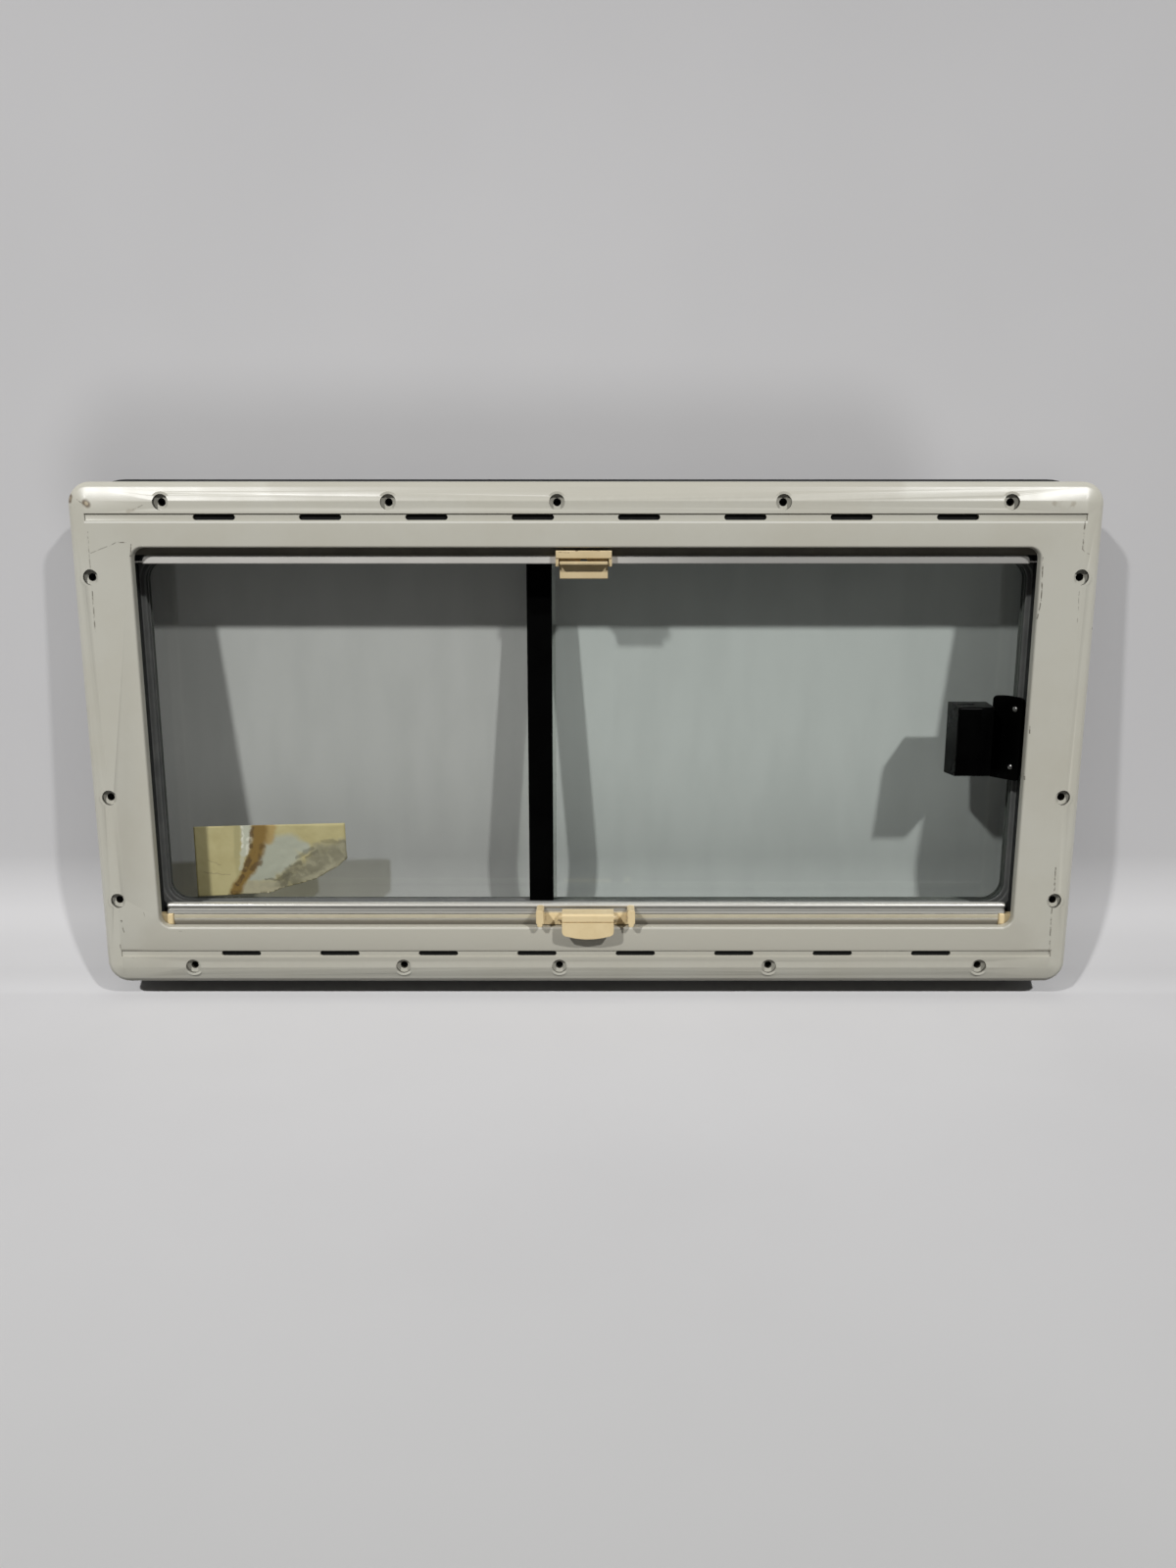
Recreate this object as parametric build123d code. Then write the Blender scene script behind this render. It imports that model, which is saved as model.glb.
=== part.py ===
from build123d import *
import os

# Caravan sliding window with an inner bezel, a roller blind and a fly screen, in millimetres.
# X runs to the right seen from inside, Y to the outside, Z up.
# The origin is the middle of the outer flange's seat on the wall's outer skin.

# Wall and cut-out
wall_thickness = 30.0
cutout_width = 900.0
cutout_height = 450.0
cutout_radius = 25.0
cutout_clearance = 1.0

# Outer frame
flange_overlap_x = 18.0
flange_overlap_z = 13.0
flange_thickness = 5.0
flange_edge_radius = 2.0
spigot_wall = 12.0
screw_groove_width = 3.4
screw_groove_depth = 14.0
tube_wall = 4.0
web_recess = 1.0

# Glazing
daylight_inset_x = 40.0
daylight_inset_z = 60.5
daylight_radius = 18.0
seal_width = 10.0
seal_lip = 5.0
seal_step_width = 4.0
seal_step_depth = 2.0
seal_edge_radius = 1.2
pane_thickness = 4.0
pane_gap = 3.0
pane_recess = 2.0
pane_bite = 7.0
pane_clearance = 0.3
meeting_x = -53.5
pane_overlap = 24.5
strip_width = 23.3
strip_wall = 2.0

# Inner bezel
bezel_overlap_x = 10.0
bezel_overlap_z = 9.0
bezel_depth = 25.0
bezel_radius = 20.0
bezel_wall = 3.0
leg_width = 55.5
rail_width = 57.5
border_width = 17.0
border_roll_width = 4.5
border_roll_depth = 4.5
border_shoulder_depth = 9.0
border_roll_radius = 4.0
opening_radius = 10.0
opening_edge_radius = 2.0
lip_depth = 8.0
lip_wall = 2.0
vent_groove_width = 6.0
vent_groove_depth = 1.0
vent_line_inset = 31.0
vent_slot_length = 37.5
vent_slot_width = 5.0
vent_slot_pitch = 94.0
vent_slot_count = 8

# Fixing screws
screw_inset_x = 6.7
screw_inset_z = 8.0
screw_end_inset_x = 66.9
screw_end_inset_z = 65.4
screw_inner_x = 174.5
screw_middle_x = -25.6
screw_middle_z = -51.0
screw_hole_diameter = 7.0
screw_head_diameter = 14.0
screw_head_depth = 5.0
screw_floor = 6.0
boss_wall = 2.2

# Blind and fly-screen runs
running_clearance = 0.3
guide_wall = 1.5
guide_slot_width = 6.6
guide_setback = 4.0
guide_width = 16.0
guide_slot_depth = 8.0
bar_tongue = 4.0
cassette_wall = 1.5
cassette_end_wall = 3.0
cassette_back_gap = 3.0
sheet_slot_width = 9.0
roll_diameter = 22.0
roll_depth = 30.0
sheet_thickness = 0.6

# Blind bar and handle
blind_bar_drop = 6.4
blind_bar_height = 7.9
blind_bar_end_gap = 5.6
blind_bar_corner_radius = 5.5
blind_bar_edge_radius = 1.2
blind_handle_x = -2.0
blind_clip_width = 50.2
blind_clip_rise = 3.9
blind_clip_height = 7.0
blind_clip_leg_width = 2.6
blind_clip_leg_drop = 7.0
blind_clip_depth = 8.0
blind_clip_back = 1.2
blind_clip_edge_radius = 1.0
blind_clip_hole_length = 6.2
blind_clip_hole_width = 2.6
blind_clip_hole_drop = 4.9
blind_grip_width = 43.2
blind_grip_drop = 5.6
blind_grip_height = 15.5
blind_grip_thickness = 2.0
blind_grip_edge_radius = 1.0
blind_grip_rib_height = 3.0
blind_grip_rib_depth = 7.5

# Fly-screen bar and handle
screen_bar_rise = 19.9
screen_bar_height = 22.4
screen_bar_nose_radius = 2.2
screen_band_height = 2.8
screen_band_step = 1.8
screen_ridge_height = 4.2
screen_ridge_bevel = 1.4
screen_groove_height = 1.4
screen_insert_height = 3.4
screen_insert_depth = 1.2
screen_insert_drop = 10.8
screen_bar_chamfer = 2.6
screen_bar_overrun = 5.6
screen_cap_width = 19.6
screen_cap_drop = 9.6
screen_cap_height = 11.2
screen_cap_proud = 1.0
screen_cap_edge_radius = 1.8
screen_handle_x = -0.5
post_spacing = 86.0
post_width = 7.2
post_drop = 1.0
post_height = 12.9
post_corner_radius = 2.2
post_proud = 9.0
post_tip_width = 5.0
post_tip_height = 3.2
post_tip_radius = 1.8
post_tongue_thickness = 4.0
carrier_drop = 8.3
carrier_height = 10.8
carrier_thickness = 5.0
plate_shift = 2.2
plate_width = 48.6
plate_drop = 3.4
plate_height = 24.3
plate_proud = 12.5
plate_tab_thickness = 3.6
plate_shoulder_drop = 8.2
plate_corner_radius = 5.0
plate_crown = 2.6
plate_rim_chamfer = 1.8
plate_seam_height = 1.0
plate_seam_depth = 1.2
pivot_pin_diameter = 6.0
pivot_pin_reach = 4.0

# Latch and keeper
latch_setback = 64.0
latch_width = 33.2
latch_height = 65.0
latch_middle_z = -1.5
latch_depth = 30.0
latch_edge_radius = 2.2
latch_draft = 3.0
latch_step_width = 12.0
latch_step_depth = 1.0
latch_slot_length = 16.0
latch_slot_width = 3.0
latch_slot_depth = 2.0
keeper_height = 79.5
keeper_middle_z = 0.6
keeper_thickness = 3.2
keeper_stand_off = 8.7
keeper_near_depth = 17.5
keeper_reach = 20.0
keeper_slope = 25.5
keeper_corner_radius = 4.0
keeper_crown = 1.5
keeper_edge_radius = 1.2

# Depth planes, from the bezel's front face to the outer face of the flange
bezel_seat_y = -wall_thickness
bezel_front_y = bezel_seat_y - bezel_depth
boss_depth = screw_head_depth + screw_floor
spigot_end_y = bezel_front_y + boss_depth
lip_end_y = bezel_front_y + lip_depth
fixed_pane_outer_y = flange_thickness - pane_recess
fixed_pane_inner_y = fixed_pane_outer_y - pane_thickness
sliding_pane_outer_y = fixed_pane_inner_y - pane_gap
sliding_pane_inner_y = sliding_pane_outer_y - pane_thickness
seal_inner_y = sliding_pane_inner_y - seal_lip
guide_front_y = lip_end_y + running_clearance
guide_slot_front_y = guide_front_y + guide_wall
guide_slot_back_y = guide_slot_front_y + guide_slot_width
bar_front_y = guide_slot_front_y + running_clearance
bar_back_y = guide_slot_back_y - running_clearance
bar_middle_y = (bar_front_y + bar_back_y) / 2
grip_seat_y = bar_front_y - blind_clip_back

# Plan sizes that follow from the cut-out
spigot_width = cutout_width - 2 * cutout_clearance
spigot_height = cutout_height - 2 * cutout_clearance
spigot_radius = cutout_radius - cutout_clearance
spigot_inner_width = spigot_width - 2 * spigot_wall
spigot_inner_height = spigot_height - 2 * spigot_wall
spigot_hollow_radius = spigot_radius - spigot_wall
flange_width = cutout_width + 2 * flange_overlap_x
flange_height = cutout_height + 2 * flange_overlap_z
flange_radius = cutout_radius + flange_overlap_x
bezel_width = cutout_width + 2 * bezel_overlap_x
bezel_height = cutout_height + 2 * bezel_overlap_z
opening_width = bezel_width - 2 * leg_width
opening_height = bezel_height - 2 * rail_width
opening_top_z = opening_height / 2
opening_bottom_z = -opening_top_z
vent_line_z = bezel_height / 2 - vent_line_inset
daylight_width = cutout_width - 2 * daylight_inset_x
daylight_height = cutout_height - 2 * daylight_inset_z
seal_outer_width = daylight_width + 2 * seal_width
seal_outer_height = daylight_height + 2 * seal_width
seal_outer_radius = daylight_radius + seal_width
tube_outer_width = seal_outer_width + 2 * tube_wall
tube_outer_height = seal_outer_height + 2 * tube_wall
pane_half_width = daylight_width / 2 + pane_bite
pane_height = daylight_height + 2 * pane_bite
pane_radius = daylight_radius + pane_bite
strip_left_x = meeting_x - strip_wall
screw_line_x = spigot_width / 2 - screw_inset_x
screw_line_z = spigot_height / 2 - screw_inset_z
boss_diameter = screw_head_diameter + 2 * boss_wall
guide_inner_x = daylight_width / 2 + guide_setback
guide_height = tube_outer_height
cassette_near_z = max(tube_outer_height / 2, opening_top_z + lip_wall) + running_clearance
cassette_far_z = screw_line_z - boss_diameter / 2 - running_clearance
cassette_front_y = bezel_front_y + bezel_wall + running_clearance
cassette_back_y = -cassette_back_gap
cassette_half_length = spigot_inner_width / 2 - spigot_hollow_radius - running_clearance
roll_y = bezel_front_y + roll_depth
roll_z = (cassette_near_z + cassette_far_z) / 2
bar_reach = guide_inner_x + bar_tongue
blind_bar_top_z = opening_top_z - blind_bar_drop
blind_bar_bottom_z = blind_bar_top_z - blind_bar_height
blind_clip_top_z = blind_bar_top_z + blind_clip_rise
blind_clip_bottom_z = blind_clip_top_z - blind_clip_height
blind_grip_top_z = blind_bar_top_z - blind_grip_drop
screen_bar_top_z = opening_bottom_z + screen_bar_rise
screen_bar_bottom_z = screen_bar_top_z - screen_bar_height
screen_insert_top_z = screen_bar_top_z - screen_insert_drop
screen_cap_top_z = screen_bar_top_z - screen_cap_drop
screen_cap_inner_x = guide_inner_x - screen_cap_width
screen_strip_half = screen_cap_inner_x - running_clearance
latch_left_x = daylight_width / 2 - latch_setback


def slab(outline, y_from, y_to):
    # A flat outline in X and Z, made solid between two depths
    return extrude(Plane.XZ.offset(-y_to) * outline, y_to - y_from)


def rounded(width, height, radius):
    return RectangleRounded(width, height, radius)


def box(x_range, y_range, z_range):
    size = [high - low for low, high in (x_range, y_range, z_range)]
    middle = [(high + low) / 2 for low, high in (x_range, y_range, z_range)]
    return Pos(*middle) * Box(*size)


def along_x(points, x_from, x_to):
    # A closed section given as (Y, Z) points, drawn out along X
    section = make_face(Polyline([(x_from, y, z) for y, z in points], close=True))
    return extrude(section, x_to - x_from, dir=(1, 0, 0))


def cylinder_y(diameter, x, z, y_from, y_to):
    return slab(Pos(x, z) * Circle(diameter / 2), y_from, y_to)


def mirrored_x(solid):
    return mirror(solid, Plane.YZ)


def front_edges(solid):
    # The edges round the face that looks to the inside
    return solid.faces().filter_by(Axis.Y).sort_by(Axis.Y)[0].edges()


def around(middle, width):
    return (middle - width / 2, middle + width / 2)


def screw_places():
    end_x = screw_line_x - screw_end_inset_x
    end_z = screw_line_z - screw_end_inset_z
    columns = (-end_x, -screw_inner_x, screw_middle_x, screw_inner_x, end_x)
    rows = (end_z, screw_middle_z, -end_z)
    across = [(x, side * screw_line_z) for side in (1, -1) for x in columns]
    down = [(side * screw_line_x, z) for side in (1, -1) for z in rows]
    return across + down


def vent_slot_places():
    first = -vent_slot_pitch * (vent_slot_count - 1) / 2
    columns = [first + i * vent_slot_pitch for i in range(vent_slot_count)]
    return [(x, side * vent_line_z) for side in (1, -1) for x in columns]


def make_outer_frame():
    flange = slab(rounded(flange_width, flange_height, flange_radius), 0, flange_thickness)
    rim = flange.faces().sort_by(Axis.Y)[-1].edges()
    flange = fillet(rim, flange_edge_radius)
    spigot = slab(rounded(spigot_width, spigot_height, spigot_radius), spigot_end_y, 0)
    hollow = slab(
        rounded(spigot_inner_width, spigot_inner_height, spigot_hollow_radius), spigot_end_y, web_recess
    )
    tube_radius = seal_outer_radius + tube_wall
    tube = slab(rounded(tube_outer_width, tube_outer_height, tube_radius), seal_inner_y, web_recess)
    seat = slab(
        rounded(seal_outer_width, seal_outer_height, seal_outer_radius), seal_inner_y, flange_thickness
    )
    half = screw_groove_width / 2
    outer_groove = rounded(
        2 * (screw_line_x + half), 2 * (screw_line_z + half), spigot_hollow_radius + half
    )
    inner_groove = rounded(
        2 * (screw_line_x - half), 2 * (screw_line_z - half), spigot_hollow_radius - half
    )
    groove = slab(outer_groove - inner_groove, spigot_end_y, spigot_end_y + screw_groove_depth)
    return flange + spigot - hollow + tube - seat - groove


def make_glazing_seal():
    body = slab(
        rounded(seal_outer_width, seal_outer_height, seal_outer_radius), seal_inner_y, flange_thickness
    )
    body -= slab(
        rounded(daylight_width, daylight_height, daylight_radius), seal_inner_y, flange_thickness
    )
    step = 2 * seal_step_width
    step_y = seal_inner_y + seal_step_depth
    body -= slab(
        rounded(daylight_width + step, daylight_height + step, daylight_radius + seal_step_width),
        seal_inner_y,
        step_y,
    )
    steps = body.faces().filter_by(Axis.Y).sort_by(Axis.Y)[:2]
    body = fillet([edge for face in steps for edge in face.inner_wires()[0].edges()], seal_edge_radius)
    groove_size = 2 * (pane_bite + pane_clearance)
    groove = rounded(
        daylight_width + groove_size, daylight_height + groove_size, pane_radius + pane_clearance
    )
    for inner_y, outer_y in (
        (fixed_pane_inner_y, fixed_pane_outer_y),
        (sliding_pane_inner_y, sliding_pane_outer_y),
    ):
        body -= slab(groove, inner_y - pane_clearance, outer_y + pane_clearance)
    return body


def make_pane(edge_x, side, inner_y, outer_y):
    # One sheet of the glazing, from its free edge to the bottom of the seal's groove
    whole = rounded(2 * pane_half_width, pane_height, pane_radius)
    far_x = side * pane_half_width
    keep = Pos((edge_x + far_x) / 2, 0) * Rectangle(abs(far_x - edge_x), pane_height)
    return slab(whole & keep, inner_y, outer_y)


def make_meeting_strip():
    # The profile on the sliding pane's free edge, which closes the gap to the fixed pane
    right_x = strip_left_x + strip_width
    half = daylight_height / 2 - pane_clearance
    strip_y = (sliding_pane_inner_y - strip_wall, fixed_pane_inner_y - pane_clearance)
    strip = box((strip_left_x, right_x), strip_y, (-half, half))
    return strip - box((meeting_x, right_x), (sliding_pane_inner_y, sliding_pane_outer_y), (-half, half))


def border_section():
    # The bezel's rolled and sloped border as (inset, depth) from the outer edge and the front plane
    roll_in = border_roll_width
    wall = bezel_wall
    outer = [
        (0, bezel_depth),
        (0, border_shoulder_depth),
        (roll_in, border_roll_depth),
        (border_width, 0),
    ]
    inner = [
        (border_width, wall),
        (roll_in + wall / 2, border_roll_depth + wall),
        (wall, border_shoulder_depth + wall / 2),
        (wall, bezel_depth),
    ]
    section = make_face(Polyline(outer + inner, close=True))
    rolled = [v for v in section.vertices() if (v.X, v.Y) in outer[1:3]]
    return fillet(rolled, border_roll_radius)


def make_bezel():
    path = slab(rounded(bezel_width, bezel_height, bezel_radius), bezel_front_y, bezel_seat_y)
    path = path.faces().sort_by(Axis.Y)[0].outer_wire()
    start = path @ 0
    toward = path % 0
    inward = Vector(0, 1, 0).cross(toward)
    if inward.dot(Vector(0, 0, 0) - start) < 0:
        inward = -inward
    across = Plane(origin=start, x_dir=inward, z_dir=inward.cross(Vector(0, 1, 0)))
    border = sweep(across * border_section(), path=path)
    face_y = bezel_front_y + bezel_wall
    inset = 2 * border_width
    face_radius = bezel_radius - border_width
    face = slab(
        rounded(bezel_width - inset, bezel_height - inset, face_radius), bezel_front_y, face_y
    )
    lip = slab(
        rounded(opening_width + 2 * lip_wall, opening_height + 2 * lip_wall, opening_radius + lip_wall),
        bezel_front_y,
        lip_end_y,
    )
    bezel = border + face + lip
    bezel -= slab(
        rounded(opening_width, opening_height, opening_radius), bezel_front_y, lip_end_y
    )
    front = bezel.faces().filter_by(Axis.Y).sort_by(Axis.Y)[0]
    bezel = fillet(front.inner_wires()[0].edges(), opening_edge_radius)
    for x, z in screw_places():
        bezel += cylinder_y(boss_diameter, x, z, face_y - bezel_wall / 2, spigot_end_y)
    for side in (1, -1):
        groove = Pos(0, side * vent_line_z) * Rectangle(bezel_width - inset, vent_groove_width)
        bezel -= slab(groove, bezel_front_y, bezel_front_y + vent_groove_depth)
    for x, z in vent_slot_places():
        slot = Pos(x, z) * SlotOverall(vent_slot_length, vent_slot_width)
        bezel -= slab(slot, bezel_front_y, face_y)
    for x, z in screw_places():
        head_y = bezel_front_y + screw_head_depth
        bezel -= cylinder_y(screw_head_diameter, x, z, bezel_front_y, head_y)
        bezel -= cylinder_y(screw_hole_diameter, x, z, head_y, spigot_end_y)
    return bezel


def make_guide():
    # The right-hand guide; the left one is its mirror image
    outer_x = guide_inner_x + guide_width
    half = guide_height / 2
    body = box((guide_inner_x, outer_x), (guide_front_y, seal_inner_y), (-half, half))
    slot_x = (guide_inner_x, guide_inner_x + guide_slot_depth)
    return body - box(slot_x, (guide_slot_front_y, guide_slot_back_y), (-half, half))


def make_cassette(side):
    z_range = sorted((side * cassette_near_z, side * cassette_far_z))
    length = (-cassette_half_length, cassette_half_length)
    body = box(length, (cassette_front_y, cassette_back_y), z_range)
    inner_length = [end - cassette_end_wall * (1 if end > 0 else -1) for end in length]
    inner_y = (cassette_front_y + cassette_wall, cassette_back_y - cassette_wall)
    inner_z = (z_range[0] + cassette_wall, z_range[1] - cassette_wall)
    body -= box(inner_length, inner_y, inner_z)
    slot_y = (bar_front_y, bar_front_y + sheet_slot_width)
    slot_z = sorted((side * cassette_near_z, side * (cassette_near_z + cassette_wall)))
    return body - box(inner_length, slot_y, slot_z)


def make_roll(side):
    half = cassette_half_length - cassette_end_wall - running_clearance
    return Pos(-half, roll_y, side * roll_z) * extrude(Plane.YZ * Circle(roll_diameter / 2), 2 * half)


def make_sheet(side, bar_edge_z):
    # The stretch of sheet that runs from the front of the roll to the bar
    half = guide_inner_x - running_clearance
    roll_front_y = roll_y - roll_diameter / 2 - running_clearance
    points = [
        (bar_middle_y, bar_edge_z),
        (bar_middle_y + sheet_thickness, bar_edge_z),
        (roll_front_y, side * roll_z),
        (roll_front_y - sheet_thickness, side * roll_z),
    ]
    return along_x(points, -half, half)


def make_blind_bar():
    half = opening_width / 2 - blind_bar_end_gap
    outline = Pos(0, (blind_bar_top_z + blind_bar_bottom_z) / 2) * Rectangle(2 * half, blind_bar_height)
    outline = fillet(outline.vertices().group_by(Axis.Y)[-1], blind_bar_corner_radius)
    bar = slab(outline, bar_front_y, bar_back_y)
    bar = fillet(front_edges(bar), blind_bar_edge_radius)
    tongue_y = (bar_front_y + running_clearance, bar_back_y - running_clearance)
    tongue_z = (blind_bar_bottom_z + blind_bar_edge_radius, blind_bar_top_z - blind_bar_corner_radius)
    bar += box((-bar_reach, bar_reach), tongue_y, tongue_z)
    return bar - slab(blind_clip_hole(), bar_front_y, bar_back_y)


def blind_clip_hole():
    # The empty hole of the screw that held the clip on the bar
    hole = SlotOverall(blind_clip_hole_length, blind_clip_hole_width)
    return Pos(blind_handle_x, blind_bar_top_z - blind_clip_hole_drop) * hole


def make_blind_clip():
    x_from, x_to = around(blind_handle_x, blind_clip_width)
    front_y = bar_front_y - blind_clip_depth
    leg_bottom_z = blind_clip_bottom_z - blind_clip_leg_drop
    clip = box((x_from, x_to), (front_y, bar_front_y), (blind_clip_bottom_z, blind_clip_top_z))
    clip = fillet(front_edges(clip), blind_clip_edge_radius)
    leg_z = (leg_bottom_z, blind_clip_bottom_z + blind_clip_edge_radius)
    leg_front_y = front_y + blind_clip_edge_radius
    for leg_from in (x_from, x_to - blind_clip_leg_width):
        clip += box((leg_from, leg_from + blind_clip_leg_width), (leg_front_y, bar_front_y), leg_z)
    clip += box((x_from, x_to), (grip_seat_y, bar_front_y), (leg_bottom_z, blind_clip_bottom_z))
    return clip - slab(blind_clip_hole(), grip_seat_y, bar_front_y)


def make_blind_grip():
    grip_x = around(blind_handle_x, blind_grip_width)
    front_y = grip_seat_y - blind_grip_thickness
    rib_front_y = front_y - blind_grip_rib_depth
    bottom_z = blind_grip_top_z - blind_grip_height
    rib_z = blind_grip_top_z - blind_grip_rib_height
    grip = box(grip_x, (front_y, grip_seat_y), (bottom_z, blind_grip_top_z))
    lower = front_edges(grip).filter_by(Axis.X).sort_by(Axis.Z)[0]
    grip = fillet(lower, blind_grip_edge_radius)
    rib = box(grip_x, (rib_front_y, front_y), (rib_z, blind_grip_top_z))
    return grip + fillet(front_edges(rib), blind_grip_edge_radius)


def make_screen_bar():
    # Drawn section with a rounded top, a ridge, a groove and a channel for the insert strip;
    # its upper part runs on over the end caps
    half = screen_strip_half + screen_bar_overrun
    top = screen_bar_top_z
    band_z = top - screen_band_height
    ridge_z = screen_insert_top_z + screen_groove_height + screen_ridge_height
    groove_z = screen_insert_top_z + screen_groove_height
    insert_z = screen_insert_top_z - screen_insert_height
    step_y = bar_front_y + screen_band_step
    points = [
        (bar_back_y, screen_bar_bottom_z),
        (bar_back_y, top),
        (bar_front_y, top),
        (bar_front_y, band_z),
        (step_y, band_z),
        (step_y, ridge_z),
        (bar_front_y + screen_ridge_bevel, ridge_z),
        (bar_front_y, ridge_z - screen_ridge_bevel),
        (bar_front_y, groove_z),
        (step_y, groove_z),
        (bar_front_y + screen_insert_depth, screen_insert_top_z),
        (bar_front_y + screen_insert_depth, insert_z),
        (bar_front_y, insert_z),
        (bar_front_y + screen_bar_chamfer, screen_bar_bottom_z),
    ]
    bar = along_x(points, -half, half)
    nose = bar.edges().filter_by(Axis.X).group_by(Axis.Z)[-1].sort_by(Axis.Y)[0]
    bar = fillet(nose, screen_bar_nose_radius)
    notch_z = (screen_bar_bottom_z, screen_cap_top_z + running_clearance)
    notch = box((screen_strip_half, half), (bar_front_y, bar_back_y), notch_z)
    return bar - notch - mirrored_x(notch)


def make_screen_insert():
    insert_y = (bar_front_y, bar_front_y + screen_insert_depth)
    insert_z = (screen_insert_top_z - screen_insert_height, screen_insert_top_z)
    return box((-screen_strip_half, screen_strip_half), insert_y, insert_z)


def make_screen_cap():
    # The right-hand cap; the left one is its mirror image
    x_range = (screen_cap_inner_x, guide_inner_x)
    z_range = (screen_cap_top_z - screen_cap_height, screen_cap_top_z)
    cap = box(x_range, (bar_front_y - screen_cap_proud, bar_back_y), z_range)
    cap = fillet(front_edges(cap), screen_cap_edge_radius)
    tongue_y = (bar_front_y + screen_cap_edge_radius, bar_back_y - running_clearance)
    return cap + box((guide_inner_x, bar_reach), tongue_y, z_range)


def make_screen_carrier():
    back_y = bar_front_y
    front_y = bezel_front_y - post_proud
    top_z = screen_bar_top_z - carrier_drop
    post_z = screen_bar_top_z - post_drop - post_height
    tip_z = post_z - post_tip_height
    post_middles = around(screen_handle_x, post_spacing)
    carrier = box(post_middles, (back_y - carrier_thickness, back_y), (top_z - carrier_height, top_z))
    for x in post_middles:
        outline = Pos(x, post_z + post_height / 2) * Rectangle(post_width, post_height)
        outline = fillet(outline.vertices().group_by(Axis.Y)[-1], post_corner_radius)
        carrier += slab(outline, front_y, back_y)
        tip = Pos(x, tip_z + post_tip_height / 2) * Rectangle(post_tip_width, post_tip_height)
        tip = fillet(tip.vertices().group_by(Axis.Y)[0], post_tip_radius)
        carrier += slab(tip, front_y, front_y + post_tongue_thickness)
    return carrier


def make_screen_plate():
    middle_x = screen_handle_x + plate_shift
    plate_x = around(middle_x, plate_width)
    top_z = screen_bar_top_z - plate_drop
    bottom_z = top_z - plate_height
    shoulder_z = top_z - plate_shoulder_drop
    front_y = bezel_front_y - plate_proud
    back_y = bar_front_y - carrier_thickness - running_clearance
    tab_back_y = front_y + plate_tab_thickness
    low_z = bottom_z + plate_crown
    crown_span = plate_width - 2 * plate_corner_radius
    crown_radius = (crown_span**2 / 4 + plate_crown**2) / (2 * plate_crown)
    height = top_z - low_z
    outline = Pos(middle_x, low_z + height / 2) * Rectangle(plate_width, height)
    outline = fillet(outline.vertices().group_by(Axis.Y)[0], plate_corner_radius)
    crown = Pos(middle_x, bottom_z + crown_radius) * Circle(crown_radius)
    crown &= Pos(middle_x, low_z - plate_crown / 2) * Rectangle(plate_width, plate_crown)
    plate = slab(outline + crown, front_y, tab_back_y)
    rim = front_edges(plate).filter_by(Axis.X).sort_by(Axis.Z)[-1]
    plate = chamfer(rim, plate_rim_chamfer)
    plate += box(plate_x, (tab_back_y, back_y), (shoulder_z, top_z))
    seam_z = (shoulder_z, shoulder_z + plate_seam_height)
    plate -= box(plate_x, (front_y, front_y + plate_seam_depth), seam_z)
    pin_z = shoulder_z + plate_seam_height / 2
    pin_y = back_y - pivot_pin_diameter / 2
    reach = plate_width + 2 * pivot_pin_reach
    pin = extrude(Plane.YZ * Circle(pivot_pin_diameter / 2), reach)
    return plate + Pos(middle_x - reach / 2, pin_y, pin_z) * pin


def make_latch_body():
    back_y = sliding_pane_inner_y
    front_y = back_y - latch_depth
    middle = Pos(latch_left_x + latch_width / 2, latch_middle_z)
    base = middle * Rectangle(latch_width + latch_draft, latch_height + latch_draft)
    front = middle * Rectangle(latch_width, latch_height)
    body = loft([Plane.XZ.offset(-back_y) * base, Plane.XZ.offset(-front_y) * front])
    body = fillet(front_edges(body), latch_edge_radius)
    right_x = latch_left_x + latch_width + latch_draft
    top_z = latch_middle_z + (latch_height + latch_draft) / 2
    bottom_z = latch_middle_z - (latch_height + latch_draft) / 2
    step_x = (latch_left_x + latch_width - latch_step_width, right_x)
    body -= box(step_x, (front_y, front_y + latch_step_depth), (bottom_z, top_z))
    slot_x = (latch_left_x + latch_draft, latch_left_x + latch_draft + latch_slot_length)
    slot_y = (back_y - latch_depth / 2, back_y - latch_depth / 2 + latch_slot_width)
    return body - box(slot_x, slot_y, (top_z - latch_slot_depth - latch_draft, top_z))


def make_latch_keeper():
    # A sloping plate on a stem, with its foot against the guide
    near_x = guide_inner_x - keeper_stand_off
    near_y = bezel_front_y + keeper_near_depth
    run = Vector(keeper_reach, -keeper_slope, 0)
    toward_inside = Vector(-keeper_slope, -keeper_reach, 0)
    middle = Vector(near_x, near_y, keeper_middle_z) - run / 2
    width = run.length
    half = keeper_height / 2
    crown_radius = (width**2 / 4 + keeper_crown**2) / (2 * keeper_crown)
    outline = Rectangle(width, keeper_height) & Pos(0, half - crown_radius) * Circle(crown_radius)
    outline = fillet(outline.vertices(), keeper_corner_radius)
    face_plane = Plane(middle, x_dir=run, z_dir=toward_inside)
    keeper = extrude(face_plane * outline, -keeper_thickness)
    front = keeper.faces().filter_by(Axis((0, 0, 0), toward_inside)).sort_by(Axis.Y)[0]
    keeper = fillet(front.edges(), keeper_edge_radius)
    back_edge = Vector(near_x, near_y, 0) - toward_inside.normalized() * keeper_thickness
    stem_x = (back_edge.X - keeper_thickness, back_edge.X)
    foot_x = (back_edge.X - keeper_thickness, guide_inner_x - running_clearance)
    stem_z = around(keeper_middle_z, keeper_height - 2 * (keeper_corner_radius + keeper_crown))
    keeper += box(stem_x, (back_edge.Y, seal_inner_y), stem_z)
    return keeper + box(foot_x, (seal_inner_y - keeper_thickness, seal_inner_y), stem_z)


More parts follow.
